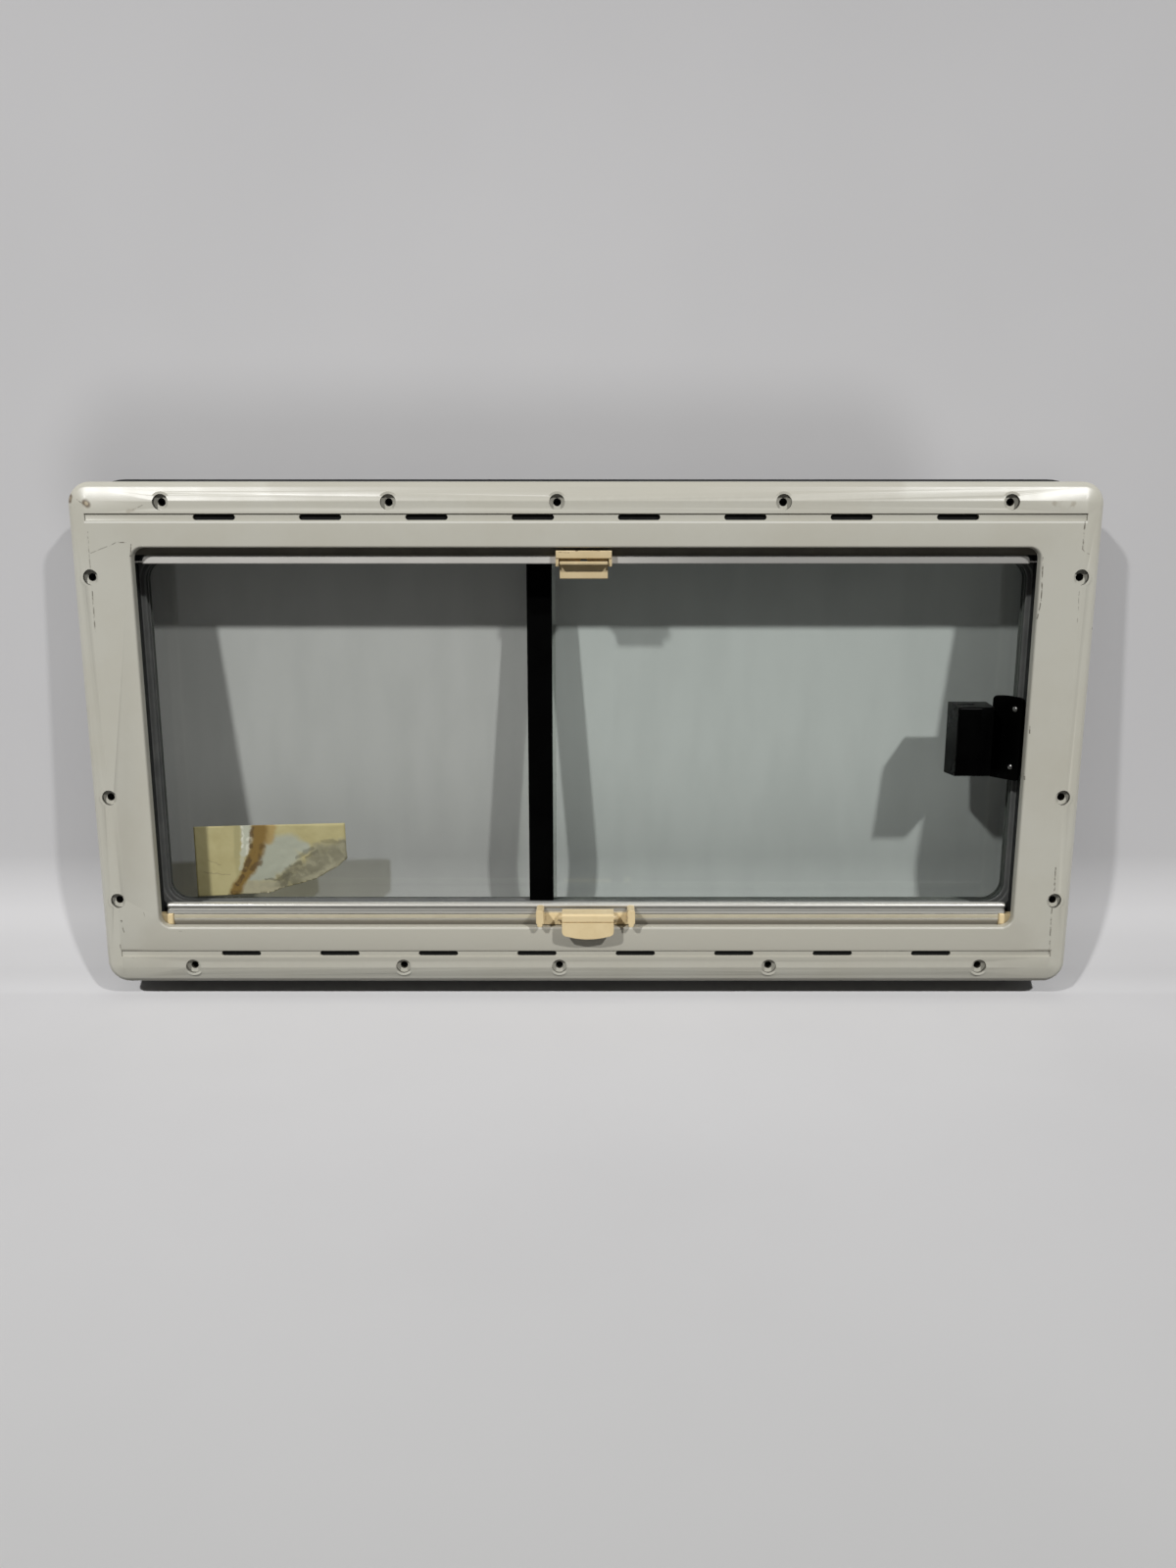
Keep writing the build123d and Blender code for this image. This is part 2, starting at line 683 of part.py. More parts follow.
guide = make_guide()
screen_cap = make_screen_cap()
nodes = {
    "outer_frame": make_outer_frame(),
    "glazing_seal": make_glazing_seal(),
    "fixed_pane": make_pane(meeting_x + pane_overlap, -1, fixed_pane_inner_y, fixed_pane_outer_y),
    "sliding_pane": make_pane(meeting_x, 1, sliding_pane_inner_y, sliding_pane_outer_y),
    "meeting_strip": make_meeting_strip(),
    "bezel": make_bezel(),
    "right_guide": guide,
    "left_guide": mirrored_x(guide),
    "blind_cassette": make_cassette(1),
    "blind_roll": make_roll(1),
    "blind_sheet": make_sheet(1, blind_bar_top_z),
    "blind_bar": make_blind_bar(),
    "blind_handle_clip": make_blind_clip(),
    "blind_handle_grip": make_blind_grip(),
    "screen_cassette": make_cassette(-1),
    "screen_roll": make_roll(-1),
    "screen_sheet": make_sheet(-1, screen_bar_bottom_z),
    "screen_bar": make_screen_bar(),
    "screen_bar_insert": make_screen_insert(),
    "screen_cap_right": screen_cap,
    "screen_cap_left": mirrored_x(screen_cap),
    "screen_handle_carrier": make_screen_carrier(),
    "screen_handle_plate": make_screen_plate(),
    "latch_body": make_latch_body(),
    "latch_keeper": make_latch_keeper(),
}

os.makedirs("parts", exist_ok=True)
for name, shape in nodes.items():
    export_step(shape, f"parts/{name}.step")
    print(name, len(shape.solids()), round(shape.volume))
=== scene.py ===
import math
import bmesh
import bpy
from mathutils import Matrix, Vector, geometry, noise


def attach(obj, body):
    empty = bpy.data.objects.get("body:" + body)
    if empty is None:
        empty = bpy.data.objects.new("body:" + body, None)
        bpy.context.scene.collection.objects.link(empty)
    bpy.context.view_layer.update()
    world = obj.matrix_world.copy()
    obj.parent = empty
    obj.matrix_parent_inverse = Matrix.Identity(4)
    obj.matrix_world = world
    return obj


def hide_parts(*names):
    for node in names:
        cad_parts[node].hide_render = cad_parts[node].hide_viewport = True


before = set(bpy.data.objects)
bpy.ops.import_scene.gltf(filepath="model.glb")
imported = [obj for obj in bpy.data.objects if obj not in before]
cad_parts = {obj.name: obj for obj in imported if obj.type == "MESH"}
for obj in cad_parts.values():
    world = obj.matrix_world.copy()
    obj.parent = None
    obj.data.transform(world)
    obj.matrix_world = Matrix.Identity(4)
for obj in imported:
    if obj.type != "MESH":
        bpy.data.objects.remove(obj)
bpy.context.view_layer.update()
mm = 0.001
print("frame loaded:", len(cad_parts), "nodes")


# small helpers for node trees

def put(tree, kind, inputs=None, **settings):
    node = tree.nodes.new(kind)
    for key, value in settings.items():
        setattr(node, key, value)
    for key, value in (inputs or {}).items():
        if isinstance(value, bpy.types.NodeSocket):
            tree.links.new(value, node.inputs[key])
        else:
            node.inputs[key].default_value = value
    return node


def maths(tree, operation, first, second=0.0, clamp=False):
    inputs = {0: first, 1: second}
    return put(tree, "ShaderNodeMath", inputs, operation=operation, use_clamp=clamp).outputs[0]


def vectors(tree, operation, first, second):
    return put(tree, "ShaderNodeVectorMath", {0: first, 1: second}, operation=operation).outputs[0]


def measure(tree, operation, first, second):
    return put(tree, "ShaderNodeVectorMath", {0: first, 1: second}, operation=operation).outputs["Value"]


def ramp(tree, value, low, high, outLow=0.0, outHigh=1.0):
    inputs = {"Value": value, "From Min": low, "From Max": high, "To Min": outLow, "To Max": outHigh}
    return put(tree, "ShaderNodeMapRange", inputs, interpolation_type="SMOOTHSTEP").outputs["Result"]


def blend(tree, factor, first, second):
    node = put(tree, "ShaderNodeMix", data_type="RGBA")
    for socket, value in ((node.inputs[0], factor), (node.inputs[6], first), (node.inputs[7], second)):
        if isinstance(value, bpy.types.NodeSocket):
            tree.links.new(value, socket)
        else:
            socket.default_value = (*value, 1.0) if isinstance(value, tuple) else value
    return node.outputs[2]


def cloud(tree, position, scale, detail=4.0, roughness=0.55):
    inputs = {"Vector": position, "Scale": scale, "Detail": detail, "Roughness": roughness}
    return put(tree, "ShaderNodeTexNoise", inputs).outputs


def newGroup(name, inputs, outputs):
    tree = bpy.data.node_groups.new(name, "ShaderNodeTree")
    for title, kind, value in inputs:
        tree.interface.new_socket(title, in_out="INPUT", socket_type=kind).default_value = value
    for title, kind in outputs:
        tree.interface.new_socket(title, in_out="OUTPUT", socket_type=kind)
    return tree, tree.nodes.new("NodeGroupInput").outputs, tree.nodes.new("NodeGroupOutput").inputs


def useGroup(tree, group, inputs):
    node = tree.nodes.new("ShaderNodeGroup")
    node.node_tree = group
    for key, value in inputs.items():
        if isinstance(value, bpy.types.NodeSocket):
            tree.links.new(value, node.inputs[key])
        else:
            node.inputs[key].default_value = value
    return node.outputs


# shared surface effects

vectorSocket, floatSocket = "NodeSocketVector", "NodeSocketFloat"
effect = {
    "mottleRange": (0.32, 0.68), "toneRange": (0.3, 0.7), "lineStretch": (0.012, 1.0, 1.0),
    "broadScale": 90.0, "threadGap": (0.15, 0.45), "solidShare": 0.35, "dotLength": 0.01,
    "shakeScale": 160.0, "gapRange": (0.38, 0.56), "wallRange": (0.25, 0.7),
    "grainDepth": 0.0004, "lineDepth": 0.0002,
}


def makeGrainGroup():
    # fine moulding grain for the bump and slow mottling for the colour
    tree, given, result = newGroup(
        "mouldedGrain",
        [("Position", vectorSocket, (0, 0, 0)), ("Grain Scale", floatSocket, 1500.0),
         ("Mottle Scale", floatSocket, 14.0)],
        [("Height", floatSocket), ("Mottle", floatSocket)],
    )
    fine = cloud(tree, given["Position"], given["Grain Scale"], 2.0)["Fac"]
    slow = cloud(tree, given["Position"], given["Mottle Scale"], 5.0, 0.62)["Fac"]
    tree.links.new(fine, result["Height"])
    tree.links.new(ramp(tree, slow, *effect["mottleRange"]), result["Mottle"])
    return tree


def makeStrokeGroup():
    # a scratch, chip or stain: how near a point is to a line in X and Z
    tree, given, result = newGroup(
        "strokeMark",
        [("Position", vectorSocket, (0, 0, 0)), ("From", vectorSocket, (0, 0, 0)),
         ("To", vectorSocket, (0, 0, 1)), ("Width", floatSocket, 0.001), ("Strength", floatSocket, 1.0)],
        [("Mask", floatSocket)],
    )
    away = vectors(tree, "SUBTRACT", given["Position"], given["From"])
    along = vectors(tree, "SUBTRACT", given["To"], given["From"])
    reach = measure(tree, "DOT_PRODUCT", away, along)
    whole = measure(tree, "DOT_PRODUCT", along, along)
    share = maths(tree, "DIVIDE", reach, whole, clamp=True)
    scaled = put(tree, "ShaderNodeVectorMath", {0: along, "Scale": share}, operation="SCALE").outputs[0]
    gap = measure(tree, "DISTANCE", away, scaled)
    solid = maths(tree, "MULTIPLY", given["Width"], effect["solidShare"])
    near = ramp(tree, gap, solid, given["Width"], 1.0, 0.0)
    tree.links.new(maths(tree, "MULTIPLY", near, given["Strength"]), result["Mask"])
    return tree


def makeBrushGroup():
    # fine lines drawn along X
    tree, given, result = newGroup(
        "drawnLines",
        [("Position", vectorSocket, (0, 0, 0)), ("Line Scale", floatSocket, 900.0)],
        [("Height", floatSocket), ("Tone", floatSocket)],
    )
    stretched = vectors(tree, "MULTIPLY", given["Position"], effect["lineStretch"])
    lines = cloud(tree, stretched, given["Line Scale"], 3.0)["Fac"]
    broad = cloud(tree, stretched, effect["broadScale"], 3.0)["Fac"]
    tree.links.new(lines, result["Height"])
    tree.links.new(ramp(tree, broad, *effect["toneRange"]), result["Tone"])
    return tree


def makeWeaveGroup():
    # crossing threads, one way across the sheet and one along it, from a map in metres
    tree, given, result = newGroup(
        "clothWeave",
        [("Map", vectorSocket, (0, 0, 0)), ("Threads", floatSocket, 1400.0)],
        [("Height", floatSocket), ("Hole", floatSocket)],
    )
    parts = put(tree, "ShaderNodeSeparateXYZ", {0: given["Map"]}).outputs
    turns = maths(tree, "MULTIPLY", given["Threads"], 2 * math.pi)
    warp = maths(tree, "SINE", maths(tree, "MULTIPLY", parts["X"], turns))
    weft = maths(tree, "SINE", maths(tree, "MULTIPLY", parts["Y"], turns))
    cross = maths(tree, "MULTIPLY", warp, weft)
    tree.links.new(ramp(tree, cross, -1.0, 1.0), result["Height"])
    both = maths(tree, "MINIMUM", warp, weft)
    tree.links.new(ramp(tree, both, *effect["threadGap"]), result["Hole"])
    return tree


grainGroup = makeGrainGroup()
strokeGroup = makeStrokeGroup()
brushGroup = makeBrushGroup()
weaveGroup = makeWeaveGroup()


def newMaterial(name):
    material = bpy.data.materials.new(name)
    material.use_nodes = True
    tree = material.node_tree
    shader = tree.nodes["Principled BSDF"]
    position = tree.nodes.new("ShaderNodeTexCoord").outputs["Object"]
    return material, tree, shader, position


def strokeMask(tree, position, strokes, wobble, brokenScale=0.0):
    # the strongest of all strokes, each (x, z, to x, to z, width, strength) with lengths in mm
    flat = vectors(tree, "MULTIPLY", position, (1, 0, 1))
    shakes = cloud(tree, position, effect["shakeScale"], 3.0)["Color"]
    shake = vectors(tree, "SUBTRACT", shakes, (0.5, 0.5, 0.5))
    shaken = vectors(tree, "ADD", flat, vectors(tree, "MULTIPLY", shake, (wobble * mm, 0, wobble * mm)))
    total = None
    for x, z, toX, toZ, width, strength in strokes:
        end = (toX * mm, 0, (toZ + effect["dotLength"]) * mm)
        given = {"Position": shaken, "From": (x * mm, 0, z * mm), "To": end, "Width": width * mm,
                 "Strength": strength}
        mask = useGroup(tree, strokeGroup, given)["Mask"]
        total = mask if total is None else maths(tree, "MAXIMUM", total, mask)
    if brokenScale:
        gaps = cloud(tree, position, brokenScale, 2.0)["Fac"]
        total = maths(tree, "MULTIPLY", total, ramp(tree, gaps, *effect["gapRange"]))
    return total


def bumpFrom(tree, shader, height, strength, distance):
    inputs = {"Height": height, "Strength": strength, "Distance": distance}
    bump = put(tree, "ShaderNodeBump", inputs)
    tree.links.new(bump.outputs["Normal"], shader.inputs["Normal"])


def addMarks(tree, position, colour, height, finish):
    # lays the finish's marks over a colour, and sinks those that have a depth
    for marks in finish.get("marks", ()):
        mask = strokeMask(tree, position, marks["strokes"], marks["wobble"], marks["brokenScale"])
        if marks.get("wallsOnly"):
            normal = tree.nodes.new("ShaderNodeTexCoord").outputs["Normal"]
            facing = maths(tree, "ABSOLUTE", put(tree, "ShaderNodeSeparateXYZ", {0: normal}).outputs["Y"])
            mask = maths(tree, "MULTIPLY", mask, ramp(tree, facing, *effect["wallRange"], 1.0, 0.0))
        colour = blend(tree, mask, colour, marks["colour"])
        if marks.get("depth"):
            height = maths(tree, "SUBTRACT", height, maths(tree, "MULTIPLY", mask, marks["depth"]))
    return colour, height


def mouldedPlastic(name, finish):
    material, tree, shader, position = newMaterial(name)
    grain = useGroup(tree, grainGroup, {
        "Position": position, "Grain Scale": finish["grainScale"], "Mottle Scale": finish["mottleScale"]})
    colour = blend(tree, grain["Mottle"], finish["colour"], finish["aged"])
    colour, height = addMarks(tree, position, colour, grain["Height"], finish)
    tree.links.new(colour, shader.inputs["Base Color"])
    low, high = finish["roughness"]
    tree.links.new(ramp(tree, grain["Mottle"], 0.0, 1.0, low, high), shader.inputs["Roughness"])
    shader.inputs["Specular IOR Level"].default_value = finish.get("specular", 0.5)
    bumpFrom(tree, shader, height, finish["bump"], effect["grainDepth"])
    return material


# finishes

screwHoles = [(x, z) for z in (216.0, -216.0) for x in (-375.4, -174.5, -25.6, 174.5, 375.4)]
screwHoles += [(x, z) for x in (442.3, -442.3) for z in (150.6, -51.0, -150.6)]
bezelFinish = {
    "colour": (0.535, 0.523, 0.455), "aged": (0.502, 0.484, 0.410), "roughness": (0.35, 0.41),
    "grainScale": 1700.0, "mottleScale": 9.0, "bump": 0.10, "specular": 0.7,
    "marks": [
        {   # painted shade on the walls of the empty screw holes
            "colour": (0.030, 0.026, 0.020), "wobble": 0.0, "brokenScale": 0.0, "wallsOnly": True,
            "strokes": [(x, z, x, z, 10.0, 2.0) for x, z in screwHoles],
        },
        {   # painted shade in the grooves' upper corners
            "colour": (0.17, 0.155, 0.12), "wobble": 0.3, "brokenScale": 0.0,
            "strokes": [
                (-443.0, 205.6, 443.0, 205.6, 1.0, 0.75), (-443.0, -199.3, 443.0, -199.3, 1.0, 0.6),
            ],
        },
        {   # painted highlights along the lips below the upper groove and under the opening
            "colour": (0.80, 0.79, 0.72), "wobble": 0.3, "brokenScale": 0.0,
            "strokes": [
                (-443.0, 198.6, 443.0, 198.6, 1.1, 0.8), (-396.0, -178.0, 396.0, -178.0, 1.3, 0.75),
            ],
        },
        {   # dark scratches, and dark lines along the creases
            "colour": (0.12, 0.105, 0.08), "wobble": 1.2, "brokenScale": 260.0,
            "strokes": [
                (-439.8, 171.8, -424.8, 177.5, 0.55, 0.55), (-424.8, 177.5, -415.8, 181.3, 0.6, 0.7),
                (-415.8, 181.3, -408.1, 180.9, 0.6, 0.8), (-403.4, 179.3, -405.2, 168.9, 0.7, 0.8),
                (-441.0, 190.0, -441.6, 157.6, 0.7, 0.5), (-441.5, 138.0, -441.9, 103.0, 0.8, 0.7),
                (-391.1, 213.3, -400.1, 208.7, 0.7, 0.5), (-449.1, 218.0, -444.6, 215.2, 0.6, 0.8),
                (441.0, 199.2, 440.8, 175.6, 0.9, 0.9), (440.8, 175.6, 443.5, 172.0, 0.7, 0.6),
                (443.5, 172.0, 449.1, 170.8, 0.6, 0.6), (441.2, 138.0, 441.8, 110.7, 0.6, 0.4),
                (406.3, 168.8, 407.7, 129.9, 0.8, 0.9), (407.7, 129.9, 405.4, 114.2, 0.8, 0.8),
                (406.3, 17.1, 406.4, 9.9, 0.9, 0.9), (405.0, -28.7, 405.2, -33.3, 0.9, 0.9),
                (-440.7, -170.4, -440.8, -171.6, 1.1, 1.0), (-440.2, -175.8, -438.8, -181.6, 0.6, 0.8),
                (-443.6, -194.4, -443.4, -198.3, 0.8, 0.9), (-432.4, -207.2, -431.5, -207.2, 0.8, 0.8),
                (-418.7, -162.1, -416.7, -172.8, 0.5, 0.5), (-386.6, -180.7, -382.9, -180.7, 1.0, 0.8),
                (440.8, -118.0, 441.6, -146.7, 0.8, 0.8), (440.6, -157.0, 441.5, -203.2, 0.8, 0.9),
                (458.6, 105.2, 458.7, 104.3, 1.0, 0.9), (-230.0, -181.0, -228.0, -181.2, 0.7, 0.6),
            ],
        },
        {   # painted shade: a faint darkening of the lower rail and of the middle of the border's head
            "colour": (0.450, 0.432, 0.365), "wobble": 8.0, "brokenScale": 0.0,
            "strokes": [
                (-400.0, -192.0, 400.0, -192.0, 36.0, 0.75), (-270.0, 229.0, 270.0, 229.0, 16.0, 0.7),
            ],
        },
        {   # smears
            "colour": (0.30, 0.26, 0.19), "wobble": 9.0, "brokenScale": 70.0,
            "strokes": [
                (414.0, 214.2, 428.0, 214.6, 4.0, 0.55), (-398.0, 209.0, -404.0, 207.5, 2.5, 0.5),
            ],
        },
        {   # chips on the upper left corner, dark round the rim and paler inside
            "colour": (0.150, 0.115, 0.075), "wobble": 1.2, "brokenScale": 0.0, "depth": 1.6,
            "strokes": [
                (-456.8, 220.6, -457.4, 217.6, 3.6, 1.0), (-441.4, 215.6, -439.4, 213.8, 4.2, 1.0),
            ],
        },
        {
            "colour": (0.400, 0.330, 0.215), "wobble": 1.0, "brokenScale": 0.0,
            "strokes": [
                (-456.9, 219.6, -457.2, 218.6, 1.9, 0.55), (-440.2, 215.0, -440.0, 214.6, 2.3, 0.9),
            ],
        },
    ],
}
creamFinish = {
    "colour": (0.770, 0.620, 0.365), "aged": (0.710, 0.560, 0.315), "roughness": (0.30, 0.42),
    "grainScale": 2200.0, "mottleScale": 45.0, "bump": 0.06,
    "marks": [
        {   # dirt on the top edge of the clip, and painted shade beside the posts and along the top of the grip
            "colour": (0.20, 0.13, 0.07), "wobble": 1.6, "brokenScale": 420.0,
            "strokes": [
                (-9.5, 174.0, -6.5, 173.8, 0.9, 0.9), (-24.0, 172.6, -15.0, 172.0, 0.5, 0.6),
                (4.0, 174.0, 12.0, 173.7, 0.5, 0.6), (-24.0, 163.2, 20.0, 163.2, 0.35, 0.35),
                (-38.6, -164.0, -38.6, -172.0, 1.2, 0.35), (38.6, -164.0, 38.6, -172.0, 1.2, 0.35),
            ],
        },
    ],
}
# painted shade: a darker copy of the cream finish for the blind's clip and grip
blindHandleShadedFinish = {**creamFinish, "colour": (0.655, 0.525, 0.315), "aged": (0.600, 0.475, 0.275)}
insertFinish = {
    "colour": (0.510, 0.465, 0.345), "aged": (0.465, 0.420, 0.305), "roughness": (0.34, 0.46),
    "grainScale": 2200.0, "mottleScale": 45.0, "bump": 0.05,
}
blackFinish = {
    "colour": (0.0004, 0.0004, 0.0004), "aged": (0.0008, 0.0009, 0.0008), "roughness": (0.26, 0.36),
    "grainScale": 1900.0, "mottleScale": 30.0, "bump": 0.03, "specular": 0.06,
}
stripFinish = {
    "colour": (0.0003, 0.0003, 0.0003), "aged": (0.0006, 0.0007, 0.0006), "roughness": (0.55, 0.65),
    "grainScale": 1500.0, "mottleScale": 30.0, "bump": 0.05, "specular": 0.03,
}
frameFinish = {
    "colour": (0.024, 0.025, 0.026), "aged": (0.035, 0.036, 0.036), "roughness": (0.42, 0.56),
    "grainScale": 1300.0, "mottleScale": 11.0, "bump": 0.16,
}
sealFinish = {
    "colour": (0.115, 0.119, 0.115), "aged": (0.160, 0.162, 0.155), "roughness": (0.55, 0.72),
    "grainScale": 900.0, "mottleScale": 26.0, "bump": 0.12, "specular": 0.4,
}
guideFinish = {
    "colour": (0.016, 0.017, 0.017), "aged": (0.024, 0.025, 0.024), "roughness": (0.50, 0.62),
    "grainScale": 1300.0, "mottleScale": 24.0, "bump": 0.10, "specular": 0.35,
}
cassetteFinish = {
    "colour": (0.006, 0.006, 0.006), "aged": (0.009, 0.009, 0.0085), "roughness": (0.40, 0.50),
    "grainScale": 800.0, "mottleScale": 20.0, "bump": 0.06, "specular": 0.2,
}
blindBarFinish = {
    "colour": (0.540, 0.523, 0.490), "aged": (0.495, 0.480, 0.445), "roughness": (0.36, 0.46),
    "grainScale": 1600.0, "mottleScale": 18.0, "bump": 0.05,
    "marks": [
        {   # painted shade over the right half
            "colour": (0.330, 0.322, 0.302), "wobble": 6.0, "brokenScale": 0.0,
            "strokes": [(230.0, 165.0, 410.0, 165.0, 260.0, 1.0)],
        },
    ],
}

bezelPlastic = mouldedPlastic("bezelPlastic", bezelFinish)
creamPlastic = mouldedPlastic("creamPlastic", creamFinish)
blindHandleShadedPlastic = mouldedPlastic("blindHandleShadedPlastic", blindHandleShadedFinish)
insertPlastic = mouldedPlastic("insertPlastic", insertFinish)
latchBlack = mouldedPlastic("latchBlack", blackFinish)
stripBlack = mouldedPlastic("stripBlack", stripFinish)
frameBlack = mouldedPlastic("frameBlack", frameFinish)
sealRubber = mouldedPlastic("sealRubber", sealFinish)
guideBlack = mouldedPlastic("guideBlack", guideFinish)
cassettePaint = mouldedPlastic("cassettePaint", cassetteFinish)
blindBarPaint = mouldedPlastic("blindBarPaint", blindBarFinish)


def makeDrawnAluminium():
    finish = {
        "bright": (0.72, 0.705, 0.655), "dull": (0.60, 0.585, 0.535), "roughness": (0.26, 0.40),
        "lineScale": 1400.0, "metallic": 0.4, "bump": 0.06,
        "marks": [
            {   # painted shade under the band
                "colour": (0.290, 0.283, 0.258), "wobble": 0.3, "brokenScale": 0.0,
                "strokes": [(-425.0, -162.5, 425.0, -162.5, 2.3, 0.9)],
            },
            {   # a darker, warmer lower part
                "colour": (0.410, 0.366, 0.280), "wobble": 0.6, "brokenScale": 0.0,
                "strokes": [(-425.0, -177.0, 425.0, -177.0, 6.5, 0.85)],
            },
        ],
    }
    material, tree, shader, position = newMaterial("drawnAluminium")
    lines = useGroup(tree, brushGroup, {"Position": position, "Line Scale": finish["lineScale"]})
    colour = blend(tree, lines["Tone"], finish["bright"], finish["dull"])
    colour, height = addMarks(tree, position, colour, lines["Height"], finish)
    tree.links.new(colour, shader.inputs["Base Color"])
    roughness = ramp(tree, lines["Height"], *effect["toneRange"], *finish["roughness"])
    tree.links.new(roughness, shader.inputs["Roughness"])
    shader.inputs["Metallic"].default_value = finish["metallic"]
    bumpFrom(tree, shader, height, finish["bump"], effect["lineDepth"])
    return material


paneGlass = {
    "wipeStretch": (9.0, 1.0, 2.2), "wipeScale": 3.0, "footDarkRange": (-0.17, 0.01), "darkerFoot": 0.79,
    "streakRange": (0.35, 0.70), "streak": 0.05, "hazeRange": (0.45, 0.75), "index": 1.46,
}


def makePaneGlass(name, finish):
    # faint upright wipe marks, and a darker tint towards the foot
    material, tree, shader, position = newMaterial(name)
    wiped = vectors(tree, "MULTIPLY", position, paneGlass["wipeStretch"])
    film = cloud(tree, wiped, paneGlass["wipeScale"], 4.0)["Fac"]
    level = put(tree, "ShaderNodeSeparateXYZ", {0: position}).outputs["Z"]
    darkerFoot = tuple(paneGlass["darkerFoot"] * c for c in finish["tint"])
    tint = blend(tree, ramp(tree, level, *paneGlass["footDarkRange"], 1.0, 0.0), finish["tint"], darkerFoot)
    streak = ramp(tree, film, *paneGlass["streakRange"], 0.0, paneGlass["streak"])
    tree.links.new(blend(tree, streak, tint, (0.0, 0.0, 0.0)), shader.inputs["Base Color"])
    shader.inputs["Transmission Weight"].default_value = 1.0
    shader.inputs["IOR"].default_value = paneGlass["index"]
    haze = ramp(tree, film, *paneGlass["hazeRange"], 0.0, finish["haze"])
    tree.links.new(haze, shader.inputs["Roughness"])
    rays = tree.nodes.new("ShaderNodeLightPath").outputs
    lightOnly = maths(tree, "MAXIMUM", rays["Is Shadow Ray"], rays["Is Diffuse Ray"])
    clear = put(tree, "ShaderNodeBsdfTransparent", {"Color": (*finish["shade"], 1.0)})
    mixed = put(tree, "ShaderNodeMixShader", {0: lightOnly, 1: shader.outputs[0], 2: clear.outputs[0]})
    tree.links.new(mixed.outputs[0], tree.nodes["Material Output"].inputs["Surface"])
    return material


cloth = {"mottleScale": 25.0, "roughness": 0.85, "holeAlpha": 0.12, "bump": 0.35}


def makeCloth(name, finish):
    material, tree, shader, _ = newMaterial(name)
    flatMap = tree.nodes.new("ShaderNodeTexCoord").outputs["UV"]
    weave = useGroup(tree, weaveGroup, {"Map": flatMap, "Threads": finish["threads"]})
    mottle = ramp(tree, cloud(tree, flatMap, cloth["mottleScale"], 4.0)["Fac"], *effect["toneRange"])
    tree.links.new(blend(tree, mottle, finish["colour"], finish["aged"]), shader.inputs["Base Color"])
    shader.inputs["Roughness"].default_value = cloth["roughness"]
    if finish["open"]:
        tree.links.new(ramp(tree, weave["Hole"], 0.0, 1.0, 1.0, cloth["holeAlpha"]), shader.inputs["Alpha"])
    bumpFrom(tree, shader, weave["Height"], cloth["bump"], effect["lineDepth"])
    return material


drawnAluminium = makeDrawnAluminium()
fixedGlass = makePaneGlass("fixedGlass", {
    "tint": (0.868, 0.886, 0.856), "shade": (0.905, 0.914, 0.900), "haze": 0.04})
slidingGlass = makePaneGlass("slidingGlass", {
    "tint": (0.884, 0.927, 0.892), "shade": (0.918, 0.939, 0.923), "haze": 0.03})
blindCloth = makeCloth("blindCloth", {
    "colour": (0.40, 0.37, 0.31), "aged": (0.33, 0.30, 0.25), "threads": 1500.0, "open": False})
screenMesh = makeCloth("screenMesh", {
    "colour": (0.05, 0.05, 0.05), "aged": (0.08, 0.08, 0.075), "threads": 700.0, "open": True})
print("finishes made:", len(bpy.data.materials))


# pieces that stand for CAD nodes: the same shape, merged, softly beveled and smoothly shaded

def addObject(name, mesh):
    piece = bpy.data.objects.new(name, mesh)
    bpy.context.scene.collection.objects.link(piece)
    return piece


def applyModifiers(piece):
    bpy.context.view_layer.update()
    shown = piece.evaluated_get(bpy.context.evaluated_depsgraph_get())
    mesh = bpy.data.meshes.new_from_object(shown)
    piece.modifiers.clear()
    piece.data = mesh


dressing = {"mergeGap": 2e-6, "flatAngle": 0.4, "smoothAngle": 32.0, "bevelAngle": 38.0, "bevelSteps": 2}


def dress(node, name, material, slotName, bevel):
    mesh = bpy.data.meshes.new(name)
    work = bmesh.new()
    work.from_mesh(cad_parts[node].data)
    bmesh.ops.remove_doubles(work, verts=work.verts, dist=dressing["mergeGap"])
    flatAngle = math.radians(dressing["flatAngle"])
    bmesh.ops.dissolve_limit(work, angle_limit=flatAngle, verts=work.verts, edges=work.edges)
    work.to_mesh(mesh)
    work.free()
    mesh.materials.clear()
    mesh.materials.append(material)
    mesh.polygons.foreach_set("material_index", [0] * len(mesh.polygons))
    mesh.shade_smooth()
    mesh.set_sharp_from_angle(angle=math.radians(dressing["smoothAngle"]))
    piece = addObject(name, mesh)
    if bevel:
        soft = piece.modifiers.new("softEdges", "BEVEL")
        soft.width = bevel * mm
        soft.segments = dressing["bevelSteps"]
        soft.limit_method = "ANGLE"
        soft.angle_limit = math.radians(dressing["bevelAngle"])
        soft.harden_normals = True
        soft.use_clamp_overlap = True
        applyModifiers(piece)
    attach(piece, "root")
    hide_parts(node)


